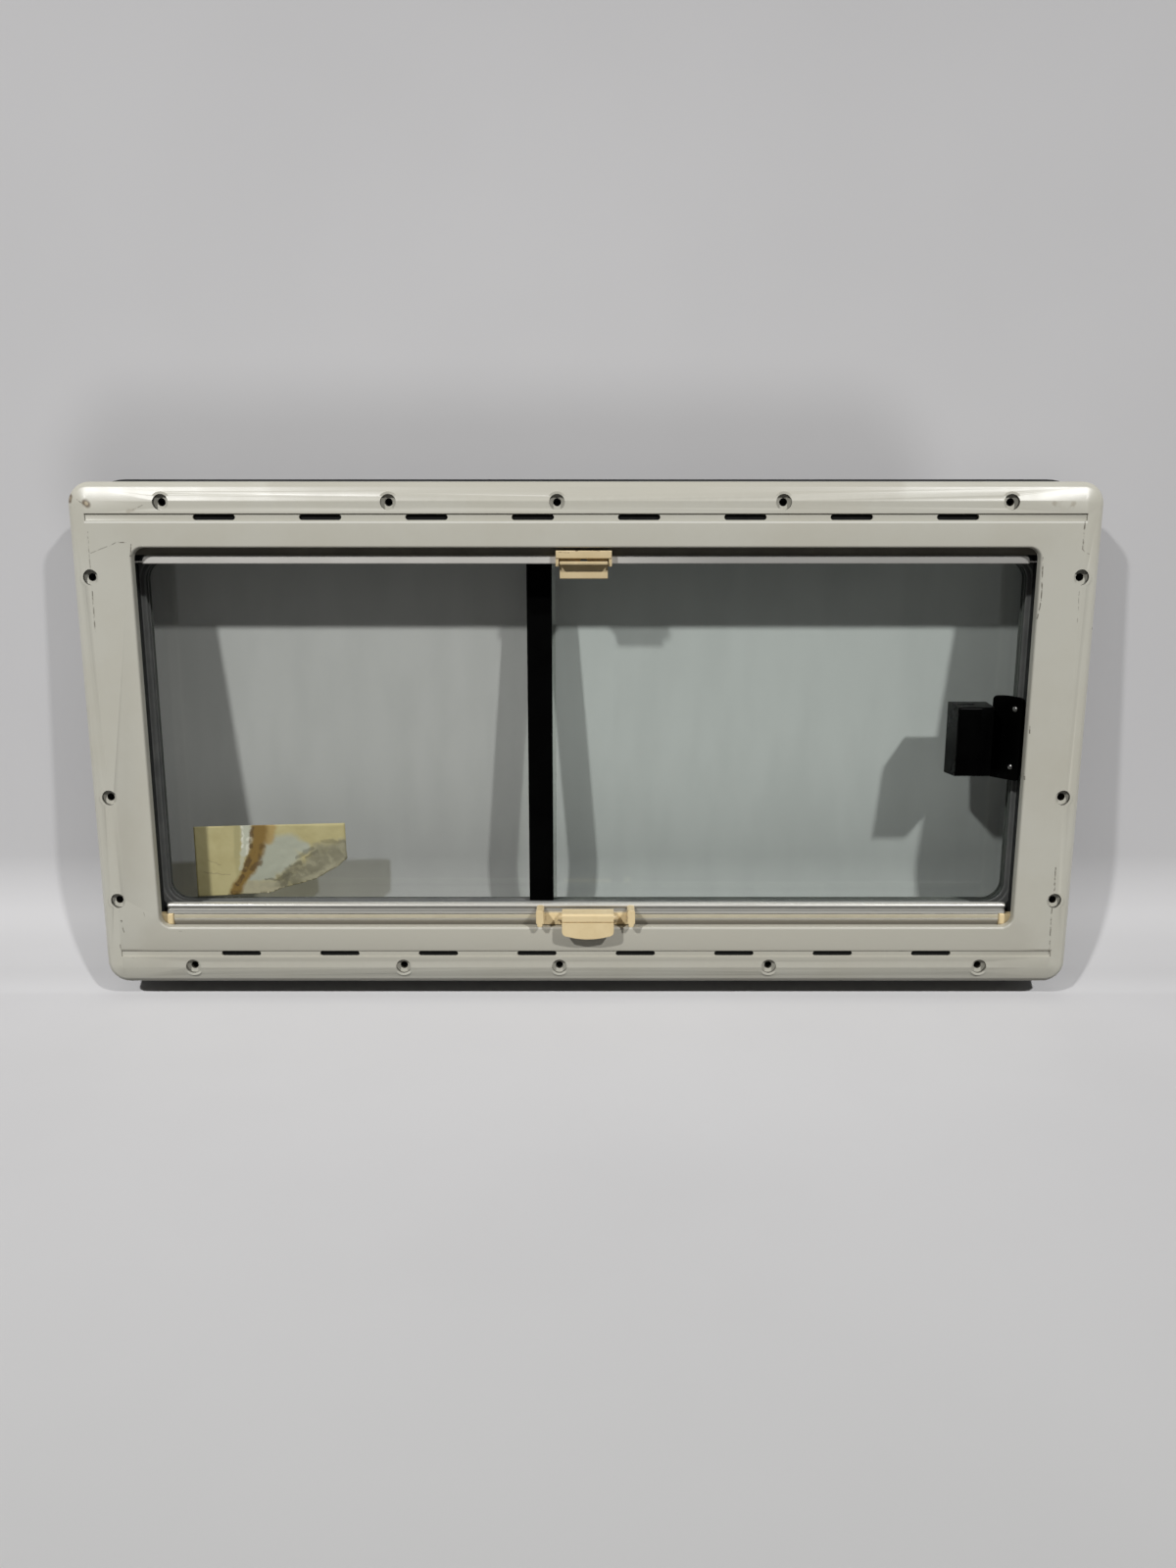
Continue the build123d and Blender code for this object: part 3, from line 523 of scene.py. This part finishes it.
dressed = [  # node, piece, material, slot, bevel in mm
    ("bezel", "bezelShell", bezelPlastic, "bezel_plastic", 0.3),
    ("outer_frame", "outerFrame", frameBlack, "frame_black", 0.5),
    ("glazing_seal", "glazingSeal", sealRubber, "seal_rubber", 0.4),
    ("fixed_pane", "fixedPane", fixedGlass, "pane_glass", 0.0),
    ("sliding_pane", "slidingPane", slidingGlass, "pane_glass", 0.0),
    ("meeting_strip", "meetingStrip", stripBlack, "strip_black", 0.3),
    ("right_guide", "rightGuide", guideBlack, "guide_black", 0.3),
    ("left_guide", "leftGuide", guideBlack, "guide_black", 0.3),
    ("blind_cassette", "blindCassette", cassettePaint, "cassette_metal", 0.3),
    ("screen_cassette", "screenCassette", cassettePaint, "cassette_metal", 0.3),
    ("blind_bar", "blindBar", blindBarPaint, "blind_bar_grey", 0.25),
    ("blind_handle_clip", "blindHandleClip", blindHandleShadedPlastic, "cream_plastic", 0.35),
    ("blind_handle_grip", "blindHandleGrip", blindHandleShadedPlastic, "cream_plastic", 0.4),
    ("screen_bar", "screenBar", drawnAluminium, "bar_aluminium", 0.2),
    ("screen_bar_insert", "screenBarInsert", insertPlastic, "cream_plastic", 0.2),
    ("screen_cap_right", "screenCapRight", creamPlastic, "cream_plastic", 0.3),
    ("screen_cap_left", "screenCapLeft", creamPlastic, "cream_plastic", 0.3),
    ("screen_handle_carrier", "screenHandleCarrier", creamPlastic, "cream_plastic", 0.5),
    ("screen_handle_plate", "screenHandlePlate", creamPlastic, "cream_plastic", 0.6),
    ("latch_body", "latchBody", latchBlack, "latch_black", 0.4),
    ("latch_keeper", "latchKeeper", latchBlack, "latch_black", 0.3),
]
for row in dressed:
    dress(*row)
print("pieces dressed:", len(dressed))


# the blind and the fly screen: one sheet each, wound on its roll and drawn to its bar

def boxOf(node):
    corners = [vertex.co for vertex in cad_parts[node].data.vertices]
    low = Vector([min(c[i] for c in corners) for i in range(3)])
    high = Vector([max(c[i] for c in corners) for i in range(3)])
    return low, high


def makeWoundSheet(name, rollNode, sheetNode, material, cut):
    rollLow, rollHigh = boxOf(rollNode)
    sheetLow, sheetHigh = boxOf(sheetNode)
    side = 1 if rollLow.z > 0 else -1
    middle = (rollLow + rollHigh) / 2
    half = cut["thickness"] * mm / 2
    outer = (rollHigh.z - rollLow.z) / 2 - half
    inner = cut["tube"] * mm / 2
    barZ = sheetLow.z if side > 0 else sheetHigh.z
    barPoint = Vector((sheetLow.y + half, barZ))
    path = []
    steps = cut["turns"] * cut["stepsPerTurn"]
    for i in range(steps + 1):
        turn = 2 * math.pi * (i - steps) / cut["stepsPerTurn"]
        radius = inner + (outer - inner) * i / steps
        path.append(Vector((middle.y - radius * math.cos(turn), middle.z - side * radius * math.sin(turn))))
    leave = path[-1]
    path += [leave.lerp(barPoint, (i + 1) / cut["freeSteps"]) for i in range(cut["freeSteps"])]
    lengths = [0.0]
    for a, b in zip(path, path[1:]):
        lengths.append(lengths[-1] + (b - a).length)
    mesh = bpy.data.meshes.new(name)
    work = bmesh.new()
    flatMap = work.loops.layers.uv.new("flat")
    rows = []
    for i, point in enumerate(path):
        ahead = path[min(i + 1, len(path) - 1)] - path[max(i - 1, 0)]
        across = Vector((-ahead.y, ahead.x)).normalized() * half
        corners = [(x, *(point + way * across)) for way in (1, -1) for x in (sheetLow.x, sheetHigh.x)]
        rows.append([work.verts.new(c) for c in corners])
    distance = {vertex: lengths[i] for i, row in enumerate(rows) for vertex in row}
    for a, b in zip(rows, rows[1:]):
        for i, j in ((0, 1), (1, 3), (3, 2), (2, 0)):
            work.faces.new((a[i], a[j], b[j], b[i]))
    for row in (rows[0], rows[-1]):
        work.faces.new((row[0], row[1], row[3], row[2]))
    bmesh.ops.recalc_face_normals(work, faces=work.faces)
    for face in work.faces:
        for loop in face.loops:
            loop[flatMap].uv = (loop.vert.co.x, distance[loop.vert])
    work.to_mesh(mesh)
    work.free()
    mesh.materials.append(material)
    mesh.shade_smooth()
    mesh.set_sharp_from_angle(angle=math.radians(cut["smoothAngle"]))
    piece = addObject(name, mesh)
    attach(piece, "root")
    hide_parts(rollNode, sheetNode)


blindCut = {
    "thickness": 0.3, "tube": 14.0, "turns": 7, "stepsPerTurn": 36, "freeSteps": 6, "smoothAngle": 40.0}
screenCut = {**blindCut, "thickness": 0.25}
makeWoundSheet(
    "blindSheetCloth", "blind_roll", "blind_sheet", blindCloth, blindCut)
makeWoundSheet(
    "screenSheetMesh", "screen_roll", "screen_sheet", screenMesh, screenCut)


# the torn paper label on the fixed pane

label = {
    "left": -384.8, "right": -236.2, "topLeft": -91.8, "topRight": -87.8, "foot": -163.1,
    "torn": [(-235.6, -112.1), (-234.8, -122.9), (-242.8, -130.4), (-267.7, -144.6), (-302.1, -154.7),
             (-312.0, -158.9)],
    "tornEnd": (-350.2, -161.1), "spacing": 2.0, "tear": 0.9, "tearScale": 0.35, "tearSeed": 1,
    "mergeGap": 1e-4, "thickness": 0.14, "lift": 0.12, "wrinkle": 1.1, "curl": 3.2,
    "creaseWeight": 1.6, "fineWeight": 0.7, "upperShare": 0.35,
    # where the loose part, the low part and the curled corner begin, and over what length they grow
    "loose": (-330.0, 60.0), "low": (100.0, 40.0), "cornerX": (-300.0, 60.0), "cornerZ": (112.0, 30.0),
    "creaseScale": (0.045, 0.11), "creaseSlant": 0.05, "creasePlace": (3.0, 1.7),
    "fineScale": (0.16, 0.2), "finePlace": 7.1,
}


def makeLabelPaper():
    finish = {
        "cream": (0.440, 0.395, 0.205), "yellowed": (0.385, 0.340, 0.165), "mottleScale": 38.0,
        "roughness": 0.72, "specular": 0.3, "fibreScale": 300.0, "bump": 0.35,
        "shadeFold": (0.128, 0.120, 0.078),
        "seam": (0.330, 0.300, 0.150), "rust": (0.200, 0.126, 0.034), "rustLight": (0.345, 0.245, 0.090),
        "rustDark": (0.100, 0.062, 0.022), "bare": (0.440, 0.450, 0.355), "shine": (0.62, 0.62, 0.52),
        "glue": (0.350, 0.363, 0.285), "foot": (0.360, 0.335, 0.225), "crumpled": (0.208, 0.196, 0.124),
        "crestHighlight": (0.300, 0.286, 0.196), "foldShade": (0.085, 0.080, 0.052), "shineThrough": (0.66, 0.64, 0.56),
    }
    material, tree, shader, position = newMaterial("labelPaper")
    mottle = cloud(tree, position, finish["mottleScale"], 5.0, 0.6)["Fac"]
    colour = blend(tree, ramp(tree, mottle, *effect["toneRange"]), finish["cream"], finish["yellowed"])
    layers = [  # colour, wobble in mm, scale of gaps, strokes
        ("seam", 1.5, 0.0, [
            (-341.5, -88.0, -343.5, -122.0, 4.5, 0.8), (-343.5, -122.0, -343.0, -142.0, 4.0, 0.5)]),
        ("glue", 4.0, 0.0, [
            (-311.0, -110.0, -290.0, -108.0, 13.0, 1.0), (-290.0, -108.0, -277.0, -113.0, 9.0, 1.0),
            (-316.0, -122.0, -292.0, -120.0, 16.0, 1.0), (-324.0, -134.0, -303.0, -131.0, 14.0, 1.0),
            (-330.0, -142.0, -312.0, -140.0, 9.0, 1.0), (-300.0, -130.0, -296.0, -126.0, 12.0, 1.0)]),
        ("foot", 3.0, 0.0, [
            (-338.0, -154.0, -300.0, -152.0, 9.0, 1.0), (-336.0, -160.0, -310.0, -160.0, 6.0, 1.0)]),
        ("crumpled", 7.0, 0.0, [
            (-234.0, -114.0, -262.0, -118.0, 13.0, 0.95), (-236.0, -124.0, -268.0, -131.0, 14.0, 1.0),
            (-262.0, -138.0, -288.0, -144.0, 11.0, 1.0), (-280.0, -132.0, -294.0, -142.0, 9.0, 0.9),
            (-292.0, -148.0, -304.0, -150.0, 5.0, 0.7)]),
        ("bare", 5.0, 0.0, [
            (-332.6, -88.0, -333.5, -106.0, 7.4, 1.0), (-333.5, -106.0, -336.5, -119.0, 5.2, 0.95),
            (-337.5, -122.0, -340.5, -134.0, 3.0, 0.6)]),
        ("shine", 6.0, 190.0, [
            (-336.5, -92.0, -338.0, -112.0, 2.0, 0.9), (-331.0, -104.0, -334.0, -119.0, 2.2, 0.9),
            (-328.5, -92.0, -329.0, -106.0, 1.6, 0.7)]),
        ("rustLight", 5.0, 0.0, [(-309.0, -87.0, -312.0, -103.0, 9.0, 0.9)]),
        ("rust", 5.0, 0.0, [
            (-319.5, -87.0, -321.0, -104.0, 11.5, 1.0), (-321.0, -104.0, -324.5, -117.0, 11.0, 1.0),
            (-324.5, -117.0, -332.0, -134.0, 9.0, 1.0), (-332.0, -134.0, -343.0, -150.0, 7.0, 1.0),
            (-344.0, -152.0, -347.5, -158.0, 8.0, 1.0)]),
        ("rustDark", 5.0, 110.0, [
            (-327.0, -93.0, -329.5, -112.0, 3.0, 0.9), (-329.0, -118.0, -337.0, -136.0, 3.6, 0.9),
            (-318.0, -112.0, -322.0, -130.0, 4.0, 0.7), (-339.0, -142.0, -345.0, -150.0, 3.0, 0.9),
            (-341.0, -158.5, -350.0, -158.5, 2.6, 0.9), (-322.0, -128.0, -330.0, -134.0, 3.6, 0.8)]),
        # painted highlights on the crests of the crumples
        ("crestHighlight", 8.0, 60.0, [
            (-234.0, -112.0, -262.0, -117.0, 12.0, 0.65), (-236.0, -124.0, -268.0, -131.0, 13.0, 0.65),
            (-262.0, -138.0, -288.0, -144.0, 10.0, 0.65), (-330.0, -150.0, -306.0, -149.0, 6.0, 0.6)]),
        ("shadeFold", 8.0, 120.0, [
            (-236.0, -118.0, -266.0, -125.0, 12.0, 0.5), (-262.0, -131.0, -292.0, -140.0, 10.0, 0.55),
            (-294.0, -148.0, -303.0, -144.0, 6.0, 0.55)]),
        # painted shade along the folds
        ("foldShade", 7.0, 0.0, [
            (-284.3, -122.9, -269.4, -112.9, 2.6, 0.45), (-291.2, -131.2, -281.4, -127.9, 2.2, 0.5),
            (-303.2, -144.6, -291.6, -139.6, 2.8, 0.5), (-316.1, -145.0, -301.6, -144.6, 1.2, 0.5),
            (-257.8, -106.3, -237.1, -107.0, 2.4, 0.35), (-274.7, -122.9, -264.7, -116.3, 2.2, 0.4),
            (-299.0, -151.0, -293.0, -142.0, 3.0, 0.45), (-377.0, -138.0, -352.0, -141.0, 0.7, 0.35),
            (-372.0, -126.0, -360.0, -131.0, 0.6, 0.3)]),
    ]
    for tone, wobble, gapScale, strokes in layers:
        mask = strokeMask(tree, position, strokes, wobble, gapScale)
        colour = blend(tree, mask, colour, finish[tone])
    tree.links.new(colour, shader.inputs["Base Color"])
    shader.inputs["Roughness"].default_value = finish["roughness"]
    shader.inputs["Specular IOR Level"].default_value = finish["specular"]
    fibres = cloud(tree, position, finish["fibreScale"], 4.0)["Fac"]
    bumpFrom(tree, shader, fibres, finish["bump"], effect["grainDepth"])
    # thin paper lets light through
    shadowRay = tree.nodes.new("ShaderNodeLightPath").outputs["Is Shadow Ray"]
    clear = put(tree, "ShaderNodeBsdfTransparent", {"Color": (*finish["shineThrough"], 1.0)})
    mixed = put(tree, "ShaderNodeMixShader", {0: shadowRay, 1: shader.outputs[0], 2: clear.outputs[0]})
    tree.links.new(mixed.outputs[0], tree.nodes["Material Output"].inputs["Surface"])
    return material


def labelOutline():
    # straight along the cut sides, ragged along the torn ones
    corners = [(label["left"], label["topLeft"]), (label["right"], label["topRight"]), *label["torn"],
               label["tornEnd"], (label["left"], label["foot"])]
    tornFrom, tornTo = 2, 1 + len(label["torn"])
    noise.seed_set(label["tearSeed"])  # without a seed, every run shifts the noise vectors
    outline = []
    for i, corner in enumerate(corners):
        start, end = Vector(corner), Vector(corners[(i + 1) % len(corners)])
        steps = max(1, round((end - start).length / label["spacing"]))
        for k in range(steps):
            point = start.lerp(end, k / steps)
            if tornFrom <= i <= tornTo and k:
                shake = noise.noise_vector(Vector((*(label["tearScale"] * point), 0)))
                point += Vector((shake.x, shake.y)) * label["tear"]
            outline.append(point)
    return outline


def labelLift(point):
    # smooth on the left, crumpled to the lower right, the torn corner curling off the glass
    def share(value, start, span):
        return min(1.0, max(0.0, (value - start) / span))

    x, z = point
    creaseX, creaseZ = label["creaseScale"]
    placeX, placeY = label["creasePlace"]
    fineX, fineZ = label["fineScale"]
    crease = noise.noise(Vector((x * creaseX + placeX, z * creaseZ - x * label["creaseSlant"], placeY)))
    fine = noise.noise(Vector((x * fineX, z * fineZ, label["finePlace"])))
    low = label["upperShare"] + (1 - label["upperShare"]) * share(-z, *label["low"])
    folds = label["creaseWeight"] * abs(crease) + label["fineWeight"] * abs(fine)
    corner = share(x, *label["cornerX"]) * share(-z, *label["cornerZ"])
    away = label["wrinkle"] * share(x, *label["loose"]) * low * folds
    return label["lift"] + away + label["curl"] * corner ** 2


def makeLabel():
    points = labelOutline()
    edges = [(i, (i + 1) % len(points)) for i in range(len(points))]
    left, foot, spacing = label["left"], label["foot"], label["spacing"]
    columns = int((label["right"] - left) / spacing)
    rows = int((label["topRight"] - foot) / spacing)
    for i in range(1, columns):
        points += [Vector((left + i * spacing, foot + k * spacing)) for k in range(1, rows)]
    insideOnly = 1
    flat, _, faces, *_ = geometry.delaunay_2d_cdt(points, edges, [], insideOnly, label["mergeGap"])
    paneFront = boxOf("fixed_pane")[0].y / mm
    mesh = bpy.data.meshes.new("tornLabel")
    mesh.from_pydata([(p.x * mm, (paneFront - labelLift(p)) * mm, p.y * mm) for p in flat], [], faces)
    if mesh.polygons[0].normal.y > 0:
        mesh.flip_normals()
    mesh.materials.append(makeLabelPaper())
    mesh.shade_smooth()
    piece = addObject("tornLabel", mesh)
    paper = piece.modifiers.new("paper", "SOLIDIFY")
    paper.thickness = label["thickness"] * mm
    paper.offset = 1.0
    applyModifiers(piece)
    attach(piece, "root")


makeLabel()


# two blind rivets on the keeper's sloping face, placed by Geometry Nodes

rivets = {
    "places": [(400.3, 28.6), (399.8, -26.3)], "slope": (-25.5, -20.0, 0.0), "faceStart": (405.3, -37.5),
    "faceEnd": (385.3, -12.0), "radius": 2.5, "height": 1.1, "hole": 0.8, "sunk": 0.25, "around": 24,
    "smoothAngle": 50.0, "dome": [(1.0, 0.25), (0.86, 0.62), (0.62, 0.92)],
    "pinHole": [(1.35, 1.0), (1.0, 0.85), (0.9, 0.35)], "pinFloor": 0.3,
    "bright": (0.62, 0.62, 0.60), "worn": (0.36, 0.35, 0.33), "wornScale": 700.0, "wornRange": (0.35, 0.65),
    "roughness": 0.32,
}


def makeRivetMetal():
    material, tree, shader, position = newMaterial("rivetMetal")
    worn = ramp(tree, cloud(tree, position, rivets["wornScale"], 3.0)["Fac"], *rivets["wornRange"])
    tree.links.new(blend(tree, worn, rivets["bright"], rivets["worn"]), shader.inputs["Base Color"])
    shader.inputs["Metallic"].default_value = 1.0
    shader.inputs["Roughness"].default_value = rivets["roughness"]
    return material


def makeRivetHead():
    # a domed ring round the pulled pin's hole, turned about Z
    radius, height, hole = rivets["radius"] * mm, rivets["height"] * mm, rivets["hole"] * mm
    sunk = -rivets["sunk"] * mm
    rings = [(radius, sunk)]
    rings += [(x * radius, z * height) for x, z in rivets["dome"]]
    rings += [(x * hole, z * height) for x, z in rivets["pinHole"]]
    around, last = rivets["around"], len(rings) - 1
    turns = [2 * math.pi * k / around for k in range(around)]
    corners = [(0, 0, sunk), (0, 0, rivets["pinFloor"] * height)]
    for x, z in rings:
        corners += [(x * math.cos(turn), x * math.sin(turn), z) for turn in turns]

    def corner(ring, k):
        return 2 + ring * around + k % around

    faces = []
    for k in range(around):
        faces += [(0, corner(0, k + 1), corner(0, k)), (corner(last, k), corner(last, k + 1), 1)]
        for ring in range(last):
            faces.append((corner(ring, k), corner(ring, k + 1), corner(ring + 1, k + 1), corner(ring + 1, k)))
    mesh = bpy.data.meshes.new("rivetHead")
    mesh.from_pydata(corners, [], faces)
    mesh.shade_smooth()
    mesh.set_sharp_from_angle(angle=math.radians(rivets["smoothAngle"]))
    return addObject("rivetHead", mesh)


def makeRivets():
    tree = bpy.data.node_groups.new("rivetRow", "GeometryNodeTree")
    tree.interface.new_socket("Geometry", in_out="INPUT", socket_type="NodeSocketGeometry")
    headSocket = tree.interface.new_socket("Head", in_out="INPUT", socket_type="NodeSocketObject")
    turnSocket = tree.interface.new_socket("Turn", in_out="INPUT", socket_type="NodeSocketRotation")
    metalSocket = tree.interface.new_socket("Metal", in_out="INPUT", socket_type="NodeSocketMaterial")
    tree.interface.new_socket("Geometry", in_out="OUTPUT", socket_type="NodeSocketGeometry")
    given = tree.nodes.new("NodeGroupInput").outputs
    head = put(tree, "GeometryNodeObjectInfo", {"Object": given["Head"]}).outputs["Geometry"]
    inputs = {"Points": given["Geometry"], "Instance": head, "Rotation": given["Turn"]}
    placed = put(tree, "GeometryNodeInstanceOnPoints", inputs).outputs["Instances"]
    real = put(tree, "GeometryNodeRealizeInstances", {"Geometry": placed}).outputs["Geometry"]
    coated = put(tree, "GeometryNodeSetMaterial", {"Geometry": real, "Material": given["Metal"]})
    tree.links.new(coated.outputs["Geometry"], tree.nodes.new("NodeGroupOutput").inputs[0])
    (startX, startY), (endX, endY) = rivets["faceStart"], rivets["faceEnd"]
    spots = []
    for x, z in rivets["places"]:
        share = (x - startX) / (endX - startX)
        spots.append((x * mm, (startY + share * (endY - startY)) * mm, z * mm))
    mesh = bpy.data.meshes.new("keeperRivets")
    mesh.from_pydata(spots, [], [])
    piece = addObject("keeperRivets", mesh)
    headPiece = makeRivetHead()
    rows = piece.modifiers.new("rivetRow", "NODES")
    rows.node_group = tree
    rows[headSocket.identifier] = headPiece
    rows[turnSocket.identifier] = Vector(rivets["slope"]).to_track_quat("Z", "Y").to_euler()
    rows[metalSocket.identifier] = makeRivetMetal()
    applyModifiers(piece)
    bpy.data.objects.remove(headPiece)
    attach(piece, "root")


makeRivets()
print("label and rivets made")


# stage, lights and camera

studio = {
    "sweepStart": -38.0, "sweepDepth": 88.0, "sweepRise": 105.0, "sweepSteps": 20, "footGap": 0.4,
    "floorSize": 5000.0, "wallLean": 0.111, "wallTop": 2000.0, "wallHalfWidth": 3000.0, "smoothAngle": 15.0,
    # the curve, back and head colours are painted shade
    "wallColour": (0.622, 0.615, 0.620), "headShadeColour": (0.515, 0.509, 0.513),
    "curveShadeColour": (0.553, 0.547, 0.551), "backShadeColour": (0.727, 0.719, 0.725),
    "floorColour": (0.836, 0.832, 0.826), "floorBounce": 0.33, "darkRoom": (0.05, 0.05, 0.05),
    "floorFade": (300.0, 900.0), "curveFade": (-5.0, 40.0), "wallFade": (-225.0, -190.0),
    "headShade": [(-400.0, 232.0, 230.0, 232.0, 120.0, 1.0)], "sheetEnd": (-700.0, 600.0),
    "roughness": 0.75, "specular": 0.2, "toneScale": 3.0, "toneDepth": 0.03,
    "lampPlaces": ((2.5, -3.36, 3.2), (-2.5, -3.36, 3.2)),
    "lampAims": ((1.3, 0.0, 0.28), (-1.3, 0.0, 0.28)),
    "lampSize": 0.24, "lampCone": 50.0, "lampPower": (795.0, 885.0),
    "topPlace": (0.0, -0.9, 3.2), "topSize": 2.2, "topPower": 5.0,
    "rearPlace": (0.0, 2.4, 1.7), "rearSize": 2.2, "rearPower": 7.0,
    "skyColour": (1.0, 0.995, 0.985), "ambient": 0.06, "surround": 0.5, "reflected": 0.06,
}


def makeStageMaterial(name, colour, oneSided):
    material, tree, shader, position = newMaterial(name)
    tone = ramp(tree, cloud(tree, position, studio["toneScale"], 3.0)["Fac"], *effect["toneRange"])
    parts = put(tree, "ShaderNodeSeparateXYZ", {0: position}).outputs
    ahead = parts["Y"]
    # painted shade: the floor darker near the window and darker still on the curve, and painted shade on the
    # wall above the window's head
    front = ramp(tree, ahead, *(-v * mm for v in studio["floorFade"]))
    curved = ramp(tree, ahead, *(-v * mm for v in studio["curveFade"]))
    upright = ramp(tree, parts["Z"], *(v * mm for v in studio["wallFade"]))
    head = strokeMask(tree, position, studio["headShade"], 0.0)
    shown = blend(tree, curved, studio["curveShadeColour"], blend(tree, front, studio["backShadeColour"], colour))
    shown = blend(tree, upright, shown, blend(tree, head, studio["wallColour"], studio["headShadeColour"]))
    shown = blend(tree, tone, shown, blend(tree, studio["toneDepth"], shown, (0.0, 0.0, 0.0)))
    shader.inputs["Roughness"].default_value = studio["roughness"]
    shader.inputs["Specular IOR Level"].default_value = studio["specular"]
    rays = tree.nodes.new("ShaderNodeLightPath").outputs
    if oneSided:  # seen only from the front, and never in the way of light
        behind = tree.nodes.new("ShaderNodeNewGeometry").outputs["Backfacing"]
        lightOnly = maths(tree, "MAXIMUM", rays["Is Shadow Ray"], rays["Is Diffuse Ray"])
        hidden = maths(tree, "MAXIMUM", lightOnly, behind)
        clear = put(tree, "ShaderNodeBsdfTransparent")
        mixed = put(tree, "ShaderNodeMixShader", {0: hidden, 1: shader.outputs[0], 2: clear.outputs[0]})
        tree.links.new(mixed.outputs[0], tree.nodes["Material Output"].inputs["Surface"])
    else:  # the floor throws up less light than it shows, and reflections find it dark beyond the sheet's end
        dim = tuple(studio["floorBounce"] * c for c in colour)
        shown = blend(tree, rays["Is Diffuse Ray"], shown, dim)
        beyond = ramp(tree, ahead, *(-v * mm for v in studio["sheetEnd"]))
        dark = maths(tree, "MULTIPLY", beyond, rays["Is Glossy Ray"])
        shown = blend(tree, dark, shown, studio["darkRoom"])
    tree.links.new(shown, shader.inputs["Base Color"])
    return material


def sweepCurve(start, end):
    # the stage's curve from the floor up to the wall, as (Y, Z), passing just under the flange's foot
    flangeLow, flangeHigh = boxOf("outer_frame")
    depth, rise = studio["sweepDepth"], studio["sweepRise"]
    footTurn = math.asin((flangeHigh.y / mm - studio["sweepStart"]) / depth)
    floorZ = flangeLow.z / mm - studio["footGap"] - rise * (1 - math.cos(footTurn))
    wallTurn = math.pi / 2 + math.atan(studio["wallLean"] * rise / depth)
    turns = {"floor": 0.0, "foot": footTurn, "wall": wallTurn}
    steps = studio["sweepSteps"]
    points = []
    for i in range(steps + 1):
        turn = turns[start] + (turns[end] - turns[start]) * i / steps
        points.append((studio["sweepStart"] + depth * math.sin(turn), floorZ + rise * (1 - math.cos(turn))))
    return points


def makeSweepMesh(name, profile, half, material):
    corners = [(x * mm, y * mm, z * mm) for y, z in profile for x in (-half, half)]
    faces = [(2 * i, 2 * i + 1, 2 * i + 3, 2 * i + 2) for i in range(len(profile) - 1)]
    mesh = bpy.data.meshes.new(name)
    mesh.from_pydata(corners, [], faces)
    mesh.materials.append(material)
    mesh.shade_smooth()
    mesh.set_sharp_from_angle(angle=math.radians(studio["smoothAngle"]))
    return addObject(name, mesh)


def makeFloor():
    # level in front, up along the curve to the flange's foot, and level again behind it
    curve = sweepCurve("floor", "foot")
    half = studio["floorSize"]
    profile = [(-half, curve[0][1]), (2 * curve[0][0], curve[0][1]), *curve, (half, curve[-1][1])]
    return makeSweepMesh("studioFloor", profile, half,
                         makeStageMaterial("studioFloor", studio["floorColour"], False))


def makeBackdrop():
    # the rest of the curve and the wall that leans to the window's head
    curve = sweepCurve("foot", "wall")
    (y, z), lean, top = curve[-1], studio["wallLean"], studio["wallTop"]
    profile = curve + [(y - lean * (level - z), level) for level in (0.0, top)]
    return makeSweepMesh("studioBackdrop", profile, studio["wallHalfWidth"],
                         makeStageMaterial("studioBackdrop", studio["wallColour"], True))


def addLamp(name, place, target, size, power, cone=0.0):
    # a round panel, or with a cone a lamp whose light falls off towards the cone's edge
    lamp = bpy.data.lights.new(name, "SPOT" if cone else "AREA")
    if cone:
        lamp.spot_size = math.radians(cone)
        lamp.spot_blend = 1.0
        lamp.shadow_soft_size = size / 2
    else:
        lamp.shape = "DISK"
        lamp.size = size
    lamp.energy = power
    holder = bpy.data.objects.new(name, lamp)
    holder.location = place
    holder.rotation_euler = (Vector(target) - Vector(place)).to_track_quat("-Z", "Y").to_euler()
    bpy.context.scene.collection.objects.link(holder)


def makeWorld():
    world = bpy.data.worlds.new("studioWorld")
    world.use_nodes = True
    tree = world.node_tree
    backdrop = tree.nodes["Background"]
    rays = tree.nodes.new("ShaderNodeLightPath").outputs
    seen = maths(tree, "MAXIMUM", rays["Is Camera Ray"], rays["Is Transmission Ray"])
    unseen = ramp(tree, rays["Is Glossy Ray"], 0.0, 1.0, studio["ambient"], studio["reflected"])
    strength = ramp(tree, seen, 0.0, 1.0, unseen, studio["surround"])
    backdrop.inputs["Color"].default_value = (*studio["skyColour"], 1.0)
    tree.links.new(strength, backdrop.inputs["Strength"])
    bpy.context.scene.world = world


def makeCamera():
    view = {"place": (1.8, -1119.6, 184.7), "tilt": 11.8, "lens": 27.0, "sensor": 36.0}
    data = bpy.data.cameras.new("photoCamera")
    data.sensor_width = view["sensor"]
    data.lens = view["lens"]
    holder = bpy.data.objects.new("photoCamera", data)
    holder.location = [v * mm for v in view["place"]]
    holder.rotation_euler = (math.radians(90 - view["tilt"]), 0, 0)
    bpy.context.scene.collection.objects.link(holder)
    bpy.context.scene.camera = holder


makeFloor()
makeBackdrop()
for i, place in enumerate(studio["lampPlaces"]):
    addLamp(f"sideLamp{i}", place, studio["lampAims"][i], studio["lampSize"], studio["lampPower"][i],
            studio["lampCone"])
addLamp("topLamp", studio["topPlace"], (0, 0, 0), studio["topSize"], studio["topPower"])
addLamp("rearLamp", studio["rearPlace"], (0, 0, 0), studio["rearSize"], studio["rearPower"])
makeWorld()
makeCamera()
bpy.context.scene.view_settings.view_transform = "Standard"
print("stage ready")
